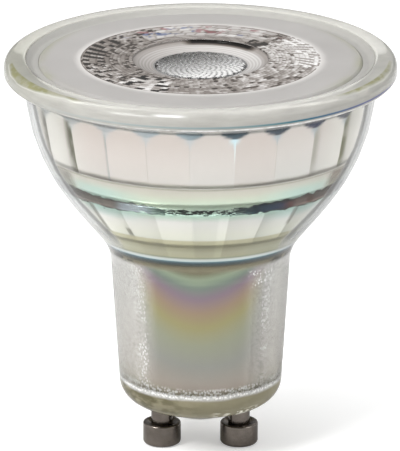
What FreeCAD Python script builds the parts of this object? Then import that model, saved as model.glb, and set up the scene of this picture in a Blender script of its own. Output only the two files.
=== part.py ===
import FreeCAD, Part
import math
import os

V = FreeCAD.Vector
UP = V(0, 0, 1)

# Sizes are in millimetres, angles in degrees.
# The bulb stands with its pins down: Z = 0 is the underside of the pins, and Z is the bulb's axis.

# Contact pins of the twist-and-lock base
pin_spacing = 10.0
pin_head_diameter = 4.9
pin_head_height = 2.9
pin_head_round = 0.45
pin_shank_diameter = 2.8
pin_shank_shown = 2.1
pin_tail_above_floor = 1.7
pin_recess_diameter = 4.0
pin_recess_depth = 0.35
pin_hole_clearance = 0.06
retainer_diameter = 4.4
retainer_thickness = 0.5
retainer_grip_clearance = 0.02

# Pressed-glass housing, outside
base_flat_diameter = 5.0
base_slope = 22.2
base_corner_round = 3.0
neck_foot_diameter = 20.72
neck_length = 20.2
neck_taper = 3.66
neck_root_round = 6.0
bowl_slope = 39.0
bowl_cone_height = 11.95
bowl_round = 26.0
upper_wall_slope = 6.9
upper_wall_height = 9.75
rim_diameter = 50.0
rim_underside_rise = 1.1
rim_band_height = 2.2
rim_corner_round = 0.6
rim_nose_round = 0.7
rim_top_round = 1.2
rim_wall = 2.8
window_half_angle = 46.0
window_depth = 0.15

# Pressed-glass housing, inside
floor_thickness = 3.0
floor_corner_round = 0.7
neck_wall = 1.6
bowl_wall = 1.6
facet_count = 24
facet_turn = -3.5
lower_facet_height = 5.25
lower_facet_depth = 0.18
smooth_band_height = 3.15
upper_facet_height = 8.6
upper_facet_depth = 0.3
upper_facet_lean = 9.6
arch_round = 13.0
arch_top_lean = 4.8
arch_closing = 0.55
pilaster_round = 0.025
lens_seat_depth = 2.1
lens_ledge_width = 1.3
mouth_bevel = 0.15

# Front lens, one clear moulding: flange, frosted ring, collimator, dish and micro-lenses
lens_flange_clearance = 0.15
lens_flange_thickness = 0.8
lens_face_clearance = 0.3
lens_face_below_rim = 0.4
lens_edge_bevel = 0.3
collimator_diameter = 30.4
collimator_foot_diameter = 12.6
collimator_foot_gap = 0.35
collimator_wall_lean = 3.0
rib_count = 72
rib_depth = 0.35
rib_ring_width = 3.8
rib_ring_height = 3.7
pillow_count = 36
pillow_rows = 3
pillow_ring_width = 2.8
pillow_ring_height = 3.3
dish_diameter = 17.2
dish_depth = 0.9
dish_edge_step = 0.25
micro_disc_diameter = 11.6
micro_disc_margin = 0.1
micro_lens_count = 225
micro_lens_cover = 0.8
micro_lens_height = 0.14
micro_lens_sides = 6
light_pocket_diameter = 9.4
light_pocket_depth = 5.0
light_pocket_crown = 1.2
glue_gap = 0.04
glue_sag = 0.25

# Heat spreader, light source and its fixings
spreader_diameter = 35.8
spreader_thickness = 1.0
spreader_seat_clearance = 0.2
spreader_seat_depth = 1.55
thermal_pad_diameter = 21.0
thermal_pad_thickness = 0.3
led_board_diameter = 22.0
led_board_thickness = 1.2
cob_side = 9.0
cob_thickness = 0.8
phosphor_diameter = 6.4
phosphor_height = 0.35
screw_circle_diameter = 17.4
screw_diameter = 2.0
screw_head_diameter = 3.4
screw_head_height = 1.0
screw_slot_width = 0.7
screw_slot_depth = 0.5
screw_clearance = 0.1
screw_collar_diameter = 4.2
screw_collar_height = 1.6

# Driver, its sleeve and its wires
sleeve_clearance = 0.35
sleeve_wall = 1.0
sleeve_height = 23.0
board_thickness = 1.0
board_height = 18.4
board_above_floor = 4.4
board_edge_clearance = 0.15
slot_rib_width = 0.7
slot_depth = 1.4
slot_clearance = 0.08
wire_diameter = 0.8
wire_bend_radius = 1.2
wire_hole_clearance = 0.2
led_wire_spacing = 17.0
led_wire_board_spacing = 7.0
wire_face_gap = 0.05
led_wire_overlap = 1.8
pin_wire_overlap = 2.6
pin_wire_inset = 1.0
solder_diameter = 1.8
solder_height = 0.7

capacitor_diameter = 6.0
capacitor_length = 9.5
capacitor_x = -2.4
capacitor_up = 6.4
capacitor_groove = 0.3
film_size = (5.2, 2.8, 6.4)
film_x = 3.4
film_up = 8.5
fuse_diameter = 2.5
fuse_length = 6.6
fuse_up = 4.0
transformer_size = (8.4, 5.4, 8.2)
transformer_leg = 1.8
transformer_up = 8.7
winding_clearance = 0.2
winding_proud = 0.5
bridge_size = (4.8, 2.2, 3.9)
bridge_x = -3.0
chip_size = (4.9, 1.5, 3.8)
chip_x = 3.2
chips_up = 3.2
chip_stand = 0.15
component_lead = 0.5


def lean(degrees):
    """Run for each unit of rise of a line that leans this far from the axis."""
    return math.tan(math.radians(degrees))


# Heights and radii of the glass outside, worked out from the sizes above
glass_at_pin_z = pin_head_height + pin_shank_shown
base_centre_z = glass_at_pin_z - (pin_spacing - base_flat_diameter) / 2 * lean(base_slope)
neck_foot_r = neck_foot_diameter / 2
base_corner_z = base_centre_z + (neck_foot_r - base_flat_diameter / 2) * lean(base_slope)
neck_top_z = base_corner_z + neck_length
neck_top_r = neck_foot_r + neck_length * lean(neck_taper)
bowl_corner_z = neck_top_z + bowl_cone_height
bowl_corner_r = neck_top_r + bowl_cone_height * lean(bowl_slope)
rim_corner_z = bowl_corner_z + upper_wall_height
rim_corner_r = bowl_corner_r + upper_wall_height * lean(upper_wall_slope)
rim_r = rim_diameter / 2
lens_seat_r = rim_r - rim_wall
mouth_r = lens_seat_r - lens_ledge_width
lens_face_r = mouth_r - lens_face_clearance
rim_band_z = rim_corner_z + rim_underside_rise
rim_top_z = rim_band_z + rim_band_height

# The same inside: each wall line is the outer one moved in by the wall
floor_z = glass_at_pin_z + floor_thickness
lens_seat_z = rim_top_z - lens_seat_depth
lens_face_z = rim_top_z - lens_face_below_rim
spreader_r = spreader_diameter / 2
spreader_seat_r = spreader_r + spreader_seat_clearance


def neck_inner_r(z):
    """Radius of the neck's inner wall at a height."""
    outer = neck_foot_r + (z - base_corner_z) * lean(neck_taper)
    return outer - neck_wall / math.cos(math.radians(neck_taper))


def bowl_inner_line_r(z):
    """Radius of the straight part of the bowl's inner wall at a height."""
    outer = neck_top_r + (z - neck_top_z) * lean(bowl_slope)
    return outer - bowl_wall / math.cos(math.radians(bowl_slope))


def crossing_z(line_a, line_b, z_low, z_high):
    """Height at which two straight wall lines, given as functions of height, cross."""
    gap_low = line_a(z_low) - line_b(z_low)
    gap_high = line_a(z_high) - line_b(z_high)
    return z_low + (z_high - z_low) * gap_low / (gap_low - gap_high)


def upper_inner_line_r(z):
    """Radius of the upper wall's inner line at a height."""
    outer = bowl_corner_r + (z - bowl_corner_z) * lean(upper_wall_slope)
    return outer - bowl_wall / math.cos(math.radians(upper_wall_slope))


def rounded_outline(corners):
    """Closed wire in the XZ plane through (radius, height, round) corners, each corner rounded by an arc."""
    count = len(corners)
    points = [V(r, 0, z) for r, z, _ in corners]
    starts, ends, middles = [], [], []
    for i, (_, _, rounding) in enumerate(corners):
        here = points[i]
        to_last = points[i - 1] - here
        to_next = points[(i + 1) % count] - here
        half = to_last.getAngle(to_next) / 2
        if rounding <= 0 or abs(half - math.pi / 2) < 1e-6:
            starts.append(here)
            ends.append(here)
            middles.append(None)
            continue
        along = rounding / math.tan(half)
        starts.append(here + V(to_last).normalize() * along)
        ends.append(here + V(to_next).normalize() * along)
        inward = (V(to_last).normalize() + V(to_next).normalize()).normalize()
        middles.append(here + inward * (rounding / math.sin(half) - rounding))
    edges = []
    for i in range(count):
        if middles[i] is not None:
            edges.append(Part.Arc(starts[i], middles[i], ends[i]).toShape())
        after = starts[(i + 1) % count]
        if ends[i].distanceToPoint(after) > 1e-6:
            edges.append(Part.LineSegment(ends[i], after).toShape())
    return Part.Wire(edges)


def turned(corners):
    """Solid of revolution about the axis, from its rounded half outline."""
    return Part.Face(rounded_outline(corners)).revolve(V(0, 0, 0), UP, 360)


def disc(diameter, bottom, height, x=0.0, y=0.0):
    """Upright cylinder by its diameter and its lower height."""
    return Part.makeCylinder(diameter / 2, height, V(x, y, bottom), UP)


def block(size, centre_x, y_low, z_low):
    """Box centred in X, by its lower corner in Y and Z."""
    return Part.makeBox(size[0], size[1], size[2], V(centre_x - size[0] / 2, y_low, z_low))


def solid_from_quads(rings, close_ends=True):
    """Solid between rings of points of equal count, with a flat face for each panel."""
    faces = []
    count = len(rings[0])
    for low, high in zip(rings, rings[1:]):
        for i in range(count):
            j = (i + 1) % count
            faces.append(Part.Face(Part.makePolygon([low[i], low[j], high[j], high[i], low[i]])))
    if close_ends:
        faces.append(Part.Face(Part.makePolygon(rings[0] + [rings[0][0]])))
        faces.append(Part.Face(Part.makePolygon(rings[-1] + [rings[-1][0]])))
    solid = Part.Solid(Part.Shell(faces))
    if solid.Volume < 0:
        solid.reverse()
    return solid


def polygon_ring(radii, z, turn):
    """Points round the axis at one height, one for each radius in turn."""
    step = 360.0 / len(radii)
    points = []
    for i, radius in enumerate(radii):
        angle = math.radians(turn + i * step)
        points.append(V(radius * math.cos(angle), radius * math.sin(angle), z))
    return points


def facet_ring(flat_radius, z):
    """Corner points of the facet band at one height, by the distance of its flats from the axis."""
    corner_radius = flat_radius / math.cos(math.pi / facet_count)
    return polygon_ring([corner_radius] * facet_count, z, facet_turn - 90)


def bent_wire(points, bend_radius, diameter):
    """Round wire along straight runs with tangent arcs at the bends."""
    edges = []
    here = points[0]
    for i in range(1, len(points) - 1):
        to_last = (points[i - 1] - points[i]).normalize()
        to_next = (points[i + 1] - points[i]).normalize()
        half = to_last.getAngle(to_next) / 2
        along = bend_radius / math.tan(half)
        start = points[i] + to_last * along
        end = points[i] + to_next * along
        inward = (to_last + to_next).normalize()
        middle = points[i] + inward * (bend_radius / math.sin(half) - bend_radius)
        edges.append(Part.LineSegment(here, start).toShape())
        edges.append(Part.Arc(start, middle, end).toShape())
        here = end
    edges.append(Part.LineSegment(here, points[-1]).toShape())
    path = Part.Wire(edges)
    section = Part.Wire([Part.makeCircle(diameter / 2, points[0], points[1] - points[0])])
    return path.makePipeShell([section], True, False)


# The bowl's inner wall: a straight line, then an arc that ends in the upper line
inner_neck_corner_z = crossing_z(neck_inner_r, bowl_inner_line_r, neck_top_z, bowl_corner_z)
inner_bowl_corner_z = crossing_z(bowl_inner_line_r, upper_inner_line_r, neck_top_z, bowl_corner_z)
bowl_inner_round = bowl_round - bowl_wall
bowl_arc_start_angle = math.radians(bowl_slope)
bowl_arc_reach = bowl_inner_round * math.tan((bowl_arc_start_angle - math.radians(upper_wall_slope)) / 2)
bowl_arc_start_z = inner_bowl_corner_z - bowl_arc_reach * math.cos(bowl_arc_start_angle)
bowl_arc_start_r = bowl_inner_line_r(bowl_arc_start_z)


def bowl_inner_r(z):
    """Radius of the bowl's inner wall at a height, on its straight line or on its arc."""
    if z <= bowl_arc_start_z:
        return bowl_inner_line_r(z)
    angle = math.asin(math.sin(bowl_arc_start_angle) - (z - bowl_arc_start_z) / bowl_inner_round)
    return bowl_arc_start_r + bowl_inner_round * (math.cos(angle) - math.cos(bowl_arc_start_angle))


def bowl_inner_z(r):
    """Height at which the bowl's inner wall has a radius, on its arc."""
    angle = math.acos(math.cos(bowl_arc_start_angle) + (r - bowl_arc_start_r) / bowl_inner_round)
    return bowl_arc_start_z + bowl_inner_round * (math.sin(bowl_arc_start_angle) - math.sin(angle))


# Heights of the stack that stands on the bowl's ledge
spreader_seat_top_z = bowl_inner_z(spreader_seat_r)
spreader_z = spreader_seat_top_z - spreader_seat_depth
spreader_top_z = spreader_z + spreader_thickness
upper_facet_z = spreader_top_z + smooth_band_height
board_top_z = spreader_top_z + thermal_pad_thickness + led_board_thickness
cob_top_z = board_top_z + cob_thickness
lens_foot_z = cob_top_z + phosphor_height + collimator_foot_gap

# The driver stands in the neck
sleeve_r = neck_inner_r(floor_z) - sleeve_clearance
sleeve_bore_r = sleeve_r - sleeve_wall
led_wire_y = board_thickness / 2 + wire_diameter / 2 + wire_face_gap
driver_board_z = floor_z + board_above_floor


def glass_outside():
    """Outer form of the pressed glass, from the base to the top of the rim."""
    return turned([
        (0, base_centre_z, 0),
        (base_flat_diameter / 2, base_centre_z, 0),
        (neck_foot_r, base_corner_z, base_corner_round),
        (neck_top_r, neck_top_z, neck_root_round),
        (bowl_corner_r, bowl_corner_z, bowl_round),
        (rim_corner_r, rim_corner_z, rim_corner_round),
        (rim_r, rim_band_z, rim_nose_round),
        (rim_r, rim_top_z, rim_top_round),
        (0, rim_top_z, 0),
    ])


def smooth_cavity():
    """Inside of the neck and of the bowl below the upper facets."""
    whole = turned([
        (0, floor_z, 0),
        (neck_inner_r(floor_z), floor_z, floor_corner_round),
        (neck_inner_r(inner_neck_corner_z), inner_neck_corner_z, neck_root_round + neck_wall),
        (upper_inner_line_r(inner_bowl_corner_z), inner_bowl_corner_z, bowl_inner_round),
        (upper_inner_line_r(rim_top_z), rim_top_z, 0),
        (0, rim_top_z, 0),
    ])
    return whole.common(disc(rim_diameter, floor_z, upper_facet_z - floor_z))


def spreader_seat():
    """Round pocket whose ledge carries the heat spreader."""
    return disc(2 * spreader_seat_r, spreader_z, spreader_seat_depth)


def lower_facets():
    """Faceted ring below the heat spreader, pressed a little into the wall."""
    low_z = spreader_z - lower_facet_height
    low = facet_ring(bowl_inner_r(low_z) + lower_facet_depth, low_z)
    high = facet_ring(bowl_inner_r(spreader_z) + lower_facet_depth, spreader_z)
    return solid_from_quads([low, high])


def upper_facets():
    """Faceted ring under the rim, whose flats end in arches where the wall closes in."""
    low_r = bowl_inner_r(upper_facet_z) + upper_facet_depth
    high_r = low_r + (lens_seat_z - upper_facet_z) * lean(upper_facet_lean)
    prism = solid_from_quads([facet_ring(low_r, upper_facet_z), facet_ring(high_r, lens_seat_z)])
    top_z = upper_facet_z + upper_facet_height
    throat_r = mouth_r - arch_closing
    arch_reach = arch_round * lean((upper_facet_lean + arch_top_lean) / 2)
    knee_z = top_z - arch_reach * math.cos(math.radians(arch_top_lean))
    to_corner = 1 / math.cos(math.pi / facet_count)
    knee_flat_r = low_r + (knee_z - upper_facet_z) * lean(upper_facet_lean)
    knee_r = knee_flat_r * to_corner - pilaster_round
    limit = turned([
        (0, upper_facet_z, 0),
        (low_r * to_corner - pilaster_round, upper_facet_z, 0),
        (knee_r, knee_z, arch_round),
        (knee_r - (top_z - knee_z) * lean(arch_top_lean), top_z, 0),
        (0, top_z, 0),
    ])
    throat = turned([
        (0, top_z, 0),
        (throat_r, top_z, 0),
        (mouth_r, lens_seat_z, 0),
        (0, lens_seat_z, 0),
    ])
    return prism.common(limit).fuse(throat)


def lens_seat():
    """Stepped mouth that the lens flange sits in."""
    return turned([
        (0, lens_seat_z, 0),
        (lens_seat_r, lens_seat_z, 0),
        (lens_seat_r, rim_top_z - mouth_bevel, 0),
        (lens_seat_r + mouth_bevel, rim_top_z, 0),
        (0, rim_top_z, 0),
    ])


def window_cutter():
    """Shallow front and back panels on the neck, cut between the stippled sides."""
    low_z = base_corner_z + base_corner_round
    high_z = neck_top_z - neck_root_round / 3
    inner = turned([
        (0, low_z, 0),
        (neck_foot_r + (low_z - base_corner_z) * lean(neck_taper) - window_depth, low_z, 0),
        (neck_foot_r + (high_z - base_corner_z) * lean(neck_taper) - window_depth, high_z, 0),
        (0, high_z, 0),
    ])
    shell = disc(4 * neck_foot_r, low_z, high_z - low_z).cut(inner)
    reach = 3 * neck_foot_r
    spread = reach * lean(window_half_angle)
    panels = None
    for side in (-1, 1):
        corners = [V(0, 0, low_z), V(-spread, side * reach, low_z), V(spread, side * reach, low_z)]
        wedge = Part.Face(Part.makePolygon(corners + [corners[0]])).extrude(V(0, 0, high_z - low_z))
        panel = shell.common(wedge)
        panels = panel if panels is None else panels.fuse(panel)
    return panels


def glass_housing():
    """Pressed-glass housing: bowl, neck and base in one piece, open at the mouth."""
    cavity = smooth_cavity().fuse([lower_facets(), spreader_seat(), upper_facets(), lens_seat()])
    glass = glass_outside().cut(cavity).cut(window_cutter())
    hole = pin_shank_diameter + 2 * pin_hole_clearance
    for side in (-1, 1):
        glass = glass.cut(disc(hole, 0, floor_z + 1, side * pin_spacing / 2))
    return glass


def rib_ring():
    """Ring of V ribs round the top of the collimator's back."""
    top_r = collimator_diameter / 2
    low_r = top_r - rib_ring_width
    flange_z = lens_seat_z
    low_z = flange_z - rib_ring_height
    count = 2 * rib_count
    rings = []
    for radius, z in ((low_r, low_z), (top_r, flange_z + lens_flange_thickness / 2)):
        share = radius / top_r
        radii = [radius - (rib_depth * share if i % 2 else 0) for i in range(count)]
        rings.append(polygon_ring(radii, z, 0))
    return solid_from_quads(rings)


def pillow_rings():
    """Rows of flat pillows below the ribs, each row steeper than the one above."""
    top_r = collimator_diameter / 2 - rib_ring_width - rib_depth
    top_z = lens_seat_z - rib_ring_height
    rings = []
    for row in range(pillow_rows + 1):
        share = row / pillow_rows
        radius = top_r - pillow_ring_width * share
        z = top_z - pillow_ring_height * share ** 1.2
        rings.append(polygon_ring([radius] * pillow_count, z, 0))
    return solid_from_quads(rings[::-1])


def micro_lens(x, y, z, width):
    """One shallow pointed micro-lens that stands on the disc."""
    ring = []
    for i in range(micro_lens_sides):
        angle = 2 * math.pi * i / micro_lens_sides + math.atan2(y, x)
        ring.append(V(x + width * math.cos(angle), y + width * math.sin(angle), z))
    tip = V(x, y, z + micro_lens_height)
    faces = [Part.Face(Part.makePolygon(ring + [ring[0]]))]
    for i in range(micro_lens_sides):
        j = (i + 1) % micro_lens_sides
        faces.append(Part.Face(Part.makePolygon([ring[i], ring[j], tip, ring[i]])))
    solid = Part.Solid(Part.Shell(faces))
    if solid.Volume < 0:
        solid.reverse()
    return solid


def sunflower(z):
    """Micro-lenses in a sunflower spiral: equal area each, turned by the golden angle."""
    golden = math.pi * (3 - math.sqrt(5))
    pitch = (micro_disc_diameter / 2 - micro_disc_margin) / (math.sqrt(micro_lens_count) + micro_lens_cover)
    lenses = []
    for i in range(micro_lens_count):
        radius = pitch * math.sqrt(i + 0.5)
        x, y = radius * math.cos(i * golden), radius * math.sin(i * golden)
        lenses.append(micro_lens(x, y, z, pitch * micro_lens_cover))
    return lenses


def front_lens():
    """Front lens with its flange, frosted ring, dished centre and faceted collimator."""
    flange_r = lens_seat_r - lens_flange_clearance
    flange_top_z = lens_seat_z + lens_flange_thickness
    plate = turned([
        (0, lens_seat_z, 0),
        (flange_r, lens_seat_z, 0),
        (flange_r, flange_top_z, 0),
        (lens_face_r, flange_top_z, 0),
        (lens_face_r, lens_face_z - lens_edge_bevel, 0),
        (lens_face_r - lens_edge_bevel, lens_face_z, 0),
        (0, lens_face_z, 0),
    ])
    ribs = rib_ring()
    pillows = pillow_rings()
    low_r = collimator_diameter / 2 - rib_ring_width - rib_depth - pillow_ring_width
    low_z = lens_seat_z - rib_ring_height - pillow_ring_height
    foot_r = collimator_foot_diameter / 2
    foot = turned([
        (0, lens_foot_z, 0),
        (foot_r, lens_foot_z, 0),
        (low_r, low_z, 0),
        (0, low_z, 0),
    ])
    dish_floor_z = lens_face_z - dish_depth
    dish = turned([
        (0, dish_floor_z, 0),
        (micro_disc_diameter / 2, dish_floor_z, 0),
        (dish_diameter / 2, lens_face_z - dish_edge_step, 0),
        (dish_diameter / 2, lens_face_z + 1, 0),
        (0, lens_face_z + 1, 0),
    ])
    pocket_r = light_pocket_diameter / 2
    pocket_top_z = lens_foot_z + light_pocket_depth
    pocket = turned([
        (0, lens_foot_z - 1, 0),
        (pocket_r + lean(collimator_wall_lean), lens_foot_z - 1, 0),
        (pocket_r - light_pocket_depth * lean(collimator_wall_lean), pocket_top_z, 0),
        (0, pocket_top_z - light_pocket_crown, 0),
    ])
    lens = plate.fuse([ribs, pillows, foot]).cut([dish, pocket])
    return lens.fuse(sunflower(dish_floor_z))


def lens_adhesive_ring():
    """Bead of clear glue in the groove between the lens and the glass rim."""
    inner_r = lens_face_r + glue_gap
    outer_r = lens_seat_r - glue_gap
    bottom_z = lens_seat_z + lens_flange_thickness
    return turned([
        (inner_r, bottom_z, 0),
        (outer_r, bottom_z, 0),
        (outer_r, rim_top_z - mouth_bevel, 0),
        ((inner_r + outer_r) / 2, lens_face_z - lens_edge_bevel - glue_sag / 2, 0.4),
        (inner_r, lens_face_z - lens_edge_bevel, 0),
    ])


def screw_places():
    """The two screws lie across the wires, in front and behind."""
    return [(0, side * screw_circle_diameter / 2) for side in (-1, 1)]


def led_wire_places():
    """Where the two light wires rise through the plates."""
    return [(side * led_wire_spacing / 2, led_wire_y) for side in (-1, 1)]


def pierced(plate, bottom, height):
    """Plate with holes for the screws and the light wires."""
    for x, y in screw_places():
        plate = plate.cut(disc(screw_diameter + 2 * screw_clearance, bottom, height, x, y))
    for x, y in led_wire_places():
        plate = plate.cut(disc(wire_diameter + 2 * wire_hole_clearance, bottom, height, x, y))
    return plate


def heat_spreader():
    """Aluminium plate with two drawn screw collars, seated on the bowl's ledge."""
    plate = disc(spreader_diameter, spreader_z, spreader_thickness)
    for x, y in screw_places():
        collar_z = spreader_z - screw_collar_height
        plate = plate.fuse(disc(screw_collar_diameter, collar_z, screw_collar_height, x, y))
    total = spreader_thickness + screw_collar_height
    return pierced(plate, spreader_z - screw_collar_height, total)


def thermal_pad():
    """Soft pad that carries the heat from the light board into the spreader."""
    pad = disc(thermal_pad_diameter, spreader_top_z, thermal_pad_thickness)
    return pierced(pad, spreader_top_z, thermal_pad_thickness)


def led_board():
    """Metal-cored board under the light source."""
    z = spreader_top_z + thermal_pad_thickness
    return pierced(disc(led_board_diameter, z, led_board_thickness), z, led_board_thickness)


def cob_substrate():
    """Square ceramic carrier of the light source."""
    return block((cob_side, cob_side, cob_thickness), 0, -cob_side / 2, board_top_z)


def phosphor_disc():
    """Round yellow phosphor layer on the carrier."""
    return disc(phosphor_diameter, cob_top_z, phosphor_height)


def board_screws():
    """Two slotted screws that clamp the light board to the spreader."""
    screws = []
    bottom_z = spreader_z - screw_collar_height
    for x, y in screw_places():
        shank = disc(screw_diameter, bottom_z, board_top_z - bottom_z, x, y)
        head = disc(screw_head_diameter, board_top_z, screw_head_height, x, y)
        slot = block((screw_head_diameter + 1, screw_slot_width, screw_slot_depth + 1), x,
                     y - screw_slot_width / 2, board_top_z + screw_head_height - screw_slot_depth)
        screws.append(shank.fuse(head).cut(slot))
    return Part.makeCompound(screws)


def driver_sleeve():
    """Insulating sleeve in the neck, with two slots that hold the driver board's edges."""
    outer = turned([
        (0, floor_z, 0),
        (sleeve_r - floor_corner_round, floor_z, 0),
        (sleeve_r, floor_z + floor_corner_round, 0),
        (sleeve_r, floor_z + sleeve_height, 0),
        (0, floor_z + sleeve_height, 0),
    ])
    sleeve = outer.cut(disc(2 * sleeve_bore_r, floor_z, sleeve_height))
    gap = board_thickness / 2 + slot_clearance
    rib_height = sleeve_height - board_above_floor
    rib_x = sleeve_bore_r - slot_depth / 2
    ribs = []
    for side in (-1, 1):
        for y in (-gap - slot_rib_width, gap):
            ribs.append(block((slot_depth, slot_rib_width, rib_height), side * rib_x, y, driver_board_z))
        shelf_y = -gap - slot_rib_width
        shelf = (slot_depth, 2 * (gap + slot_rib_width), slot_rib_width)
        ribs.append(block(shelf, side * rib_x, shelf_y, driver_board_z - slot_rib_width))
    return sleeve.fuse([rib.common(outer) for rib in ribs])


def board_half_width():
    """Half width of the driver board between the slots' floors."""
    return math.sqrt(sleeve_bore_r ** 2 - (board_thickness / 2) ** 2) - board_edge_clearance


def driver_board():
    """Upright circuit board of the driver."""
    size = (2 * board_half_width(), board_thickness, board_height)
    return block(size, 0, -board_thickness / 2, driver_board_z)


def electrolytic_capacitor():
    """Upright can with a crimp groove near its foot, behind the board."""
    radius = capacitor_diameter / 2
    centre = V(capacitor_x, board_thickness / 2 + radius + wire_face_gap, driver_board_z + capacitor_up)
    can = turned([
        (0, 0, 0),
        (radius, 0, 0.3),
        (radius, 1.2, 0),
        (radius - capacitor_groove, 1.5, 0),
        (radius, 1.8, 0),
        (radius, capacitor_length, 0.3),
        (0, capacitor_length, 0),
    ])
    can.translate(centre)
    foot = block((component_lead, board_thickness / 2 + radius, component_lead), centre.x,
                 board_thickness / 2, centre.z - component_lead)
    return can.fuse(foot)


def film_capacitor():
    """Small boxed capacitor behind the board."""
    size = film_size
    body = block(size, film_x, board_thickness / 2, driver_board_z + film_up)
    return body.makeFillet(0.4, [e for e in body.Edges if abs(e.Length - size[2]) < 1e-6])


def fuse_resistor():
    """Wire-ended fusible resistor across the board near the pins."""
    radius = fuse_diameter / 2
    face = board_thickness / 2
    y = face + radius + wire_face_gap
    z = driver_board_z + fuse_up
    body = Part.makeCylinder(radius, fuse_length, V(-fuse_length / 2, y, z), V(1, 0, 0))
    body = body.makeFillet(radius / 2, [e for e in body.Edges if len(e.Vertexes) == 1])
    wire = component_lead
    reach = fuse_length / 2 + 1.5 * wire
    along = Part.makeBox(2 * reach, wire, wire, V(-reach, y - wire / 2, z - wire / 2))
    leads = [along]
    for side in (-1, 1):
        size = (wire, y - face + wire / 2, wire)
        leads.append(block(size, side * (reach - wire / 2), face, z - wire / 2))
    return body.fuse(leads)


def transformer_core():
    """Ferrite core with two windows round its middle leg, in front of the board."""
    width, depth, height = transformer_size
    y = -board_thickness / 2 - depth
    z = driver_board_z + transformer_up
    core = block((width, depth, height), 0, y, z)
    window = (width / 2 - 1.5 * transformer_leg, depth, height - 2 * transformer_leg)
    for side in (-1, 1):
        x = side * (transformer_leg / 2 + window[0] / 2)
        core = core.cut(block(window, x, y, z + transformer_leg))
    return core


def transformer_winding():
    """Copper winding on the core's middle leg."""
    width, depth, height = transformer_size
    y = -board_thickness / 2 - depth
    z = driver_board_z + transformer_up
    tall = height - 2 * transformer_leg - 2 * winding_clearance
    window = width / 2 - 1.5 * transformer_leg
    outer_w = transformer_leg + 2 * (window - winding_clearance)
    coil_z = z + transformer_leg + winding_clearance
    coil = block((outer_w, depth + winding_proud, tall), 0, y - winding_proud, coil_z)
    hole = (transformer_leg + 2 * wire_face_gap, depth + 2 * wire_face_gap, tall)
    coil = coil.makeFillet(0.4, [e for e in coil.Edges if abs(e.Length - tall) < 1e-6])
    return coil.cut(block(hole, 0, y - wire_face_gap, coil_z))


def flat_chip(size, x, z):
    """Moulded package on the front of the board, with lead feet above and below it."""
    width, depth, height = size
    y = -board_thickness / 2
    body = block((width, depth - chip_stand, height), x, y - depth, z)
    foot = (component_lead, chip_stand + component_lead, 2 * component_lead)
    feet = []
    for foot_x in (x - 0.3 * width, x + 0.3 * width):
        for low_z in (z - 1.5 * component_lead, z + height - component_lead / 2):
            feet.append(block(foot, foot_x, y - foot[1], low_z))
    return body.fuse(feet)


def bridge_rectifier():
    """Four-legged bridge rectifier low on the board."""
    return flat_chip(bridge_size, bridge_x, driver_board_z + chips_up)


def driver_chip():
    """Driver chip beside the rectifier."""
    return flat_chip(chip_size, chip_x, driver_board_z + chips_up)


def contact_pin(side):
    """Mushroom-headed contact pin that stands in its hole in the glass."""
    x = side * pin_spacing / 2
    head_r = pin_head_diameter / 2
    shank_r = pin_shank_diameter / 2
    pin = turned([
        (0, 0, 0),
        (head_r, 0, pin_head_round),
        (head_r, pin_head_height, pin_head_round / 2),
        (pin_recess_diameter / 2, pin_head_height, 0),
        (shank_r, pin_head_height - pin_recess_depth, 0),
        (shank_r, floor_z + pin_tail_above_floor, 0.3),
        (0, floor_z + pin_tail_above_floor, 0),
    ])
    pin.translate(V(x, 0, 0))
    return pin


def pin_retainer(side):
    """Pressed ring that holds the pin against the glass floor."""
    bore = pin_shank_diameter + 2 * retainer_grip_clearance
    x = side * pin_spacing / 2
    ring = disc(retainer_diameter, floor_z, retainer_thickness, x)
    return ring.cut(disc(bore, floor_z, retainer_thickness, x))


def pin_lead(side):
    """Wire from the top of a pin to the foot of the driver board."""
    x = side * pin_spacing / 2
    end_x = side * (pin_spacing / 2 - pin_wire_inset)
    pin_top = floor_z + pin_tail_above_floor
    rise = driver_board_z - pin_top
    y = board_thickness / 2 + wire_diameter / 2
    points = [V(x, 0, pin_top), V(x, 0, pin_top + rise * 0.3), V(end_x, y, pin_top + rise * 0.75),
              V(end_x, y, driver_board_z + pin_wire_overlap)]
    return bent_wire(points, wire_bend_radius / 2, wire_diameter)


def led_lead(side):
    """Wire from the top of the driver board, through the plates, to its solder joint."""
    y = led_wire_y
    low_x = side * led_wire_board_spacing / 2
    high_x = side * led_wire_spacing / 2
    board_end_z = driver_board_z + board_height
    foot_z = board_end_z - led_wire_overlap
    low_bend_z = max(board_end_z, floor_z + sleeve_height) + wire_diameter
    points = [V(low_x, y, foot_z), V(low_x, y, low_bend_z),
              V(high_x, y, spreader_z - wire_diameter), V(high_x, y, board_top_z + solder_height / 2)]
    wire = bent_wire(points, wire_bend_radius, wire_diameter)
    joint = Part.makeCone(solder_diameter / 2, wire_diameter / 2, solder_height, V(high_x, y, board_top_z), UP)
    pad_size = (wire_diameter, y - board_thickness / 2, led_wire_overlap / 2)
    return wire.fuse([joint, block(pad_size, low_x, board_thickness / 2, foot_z)])


def write(name, shape):
    """One node: its solid checked, then written under its own name."""
    if shape.ShapeType == "Compound" and len(shape.Solids) == 1:
        shape = shape.Solids[0]
    shape = shape.removeSplitter()
    if not shape.isValid():
        raise ValueError(f"{name} is not a valid solid")
    shape.exportStep(f"parts/{name}.step")
    print(f"{name:24s} {len(shape.Solids)} solid(s) {shape.Volume:9.2f} mm3")


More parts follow.
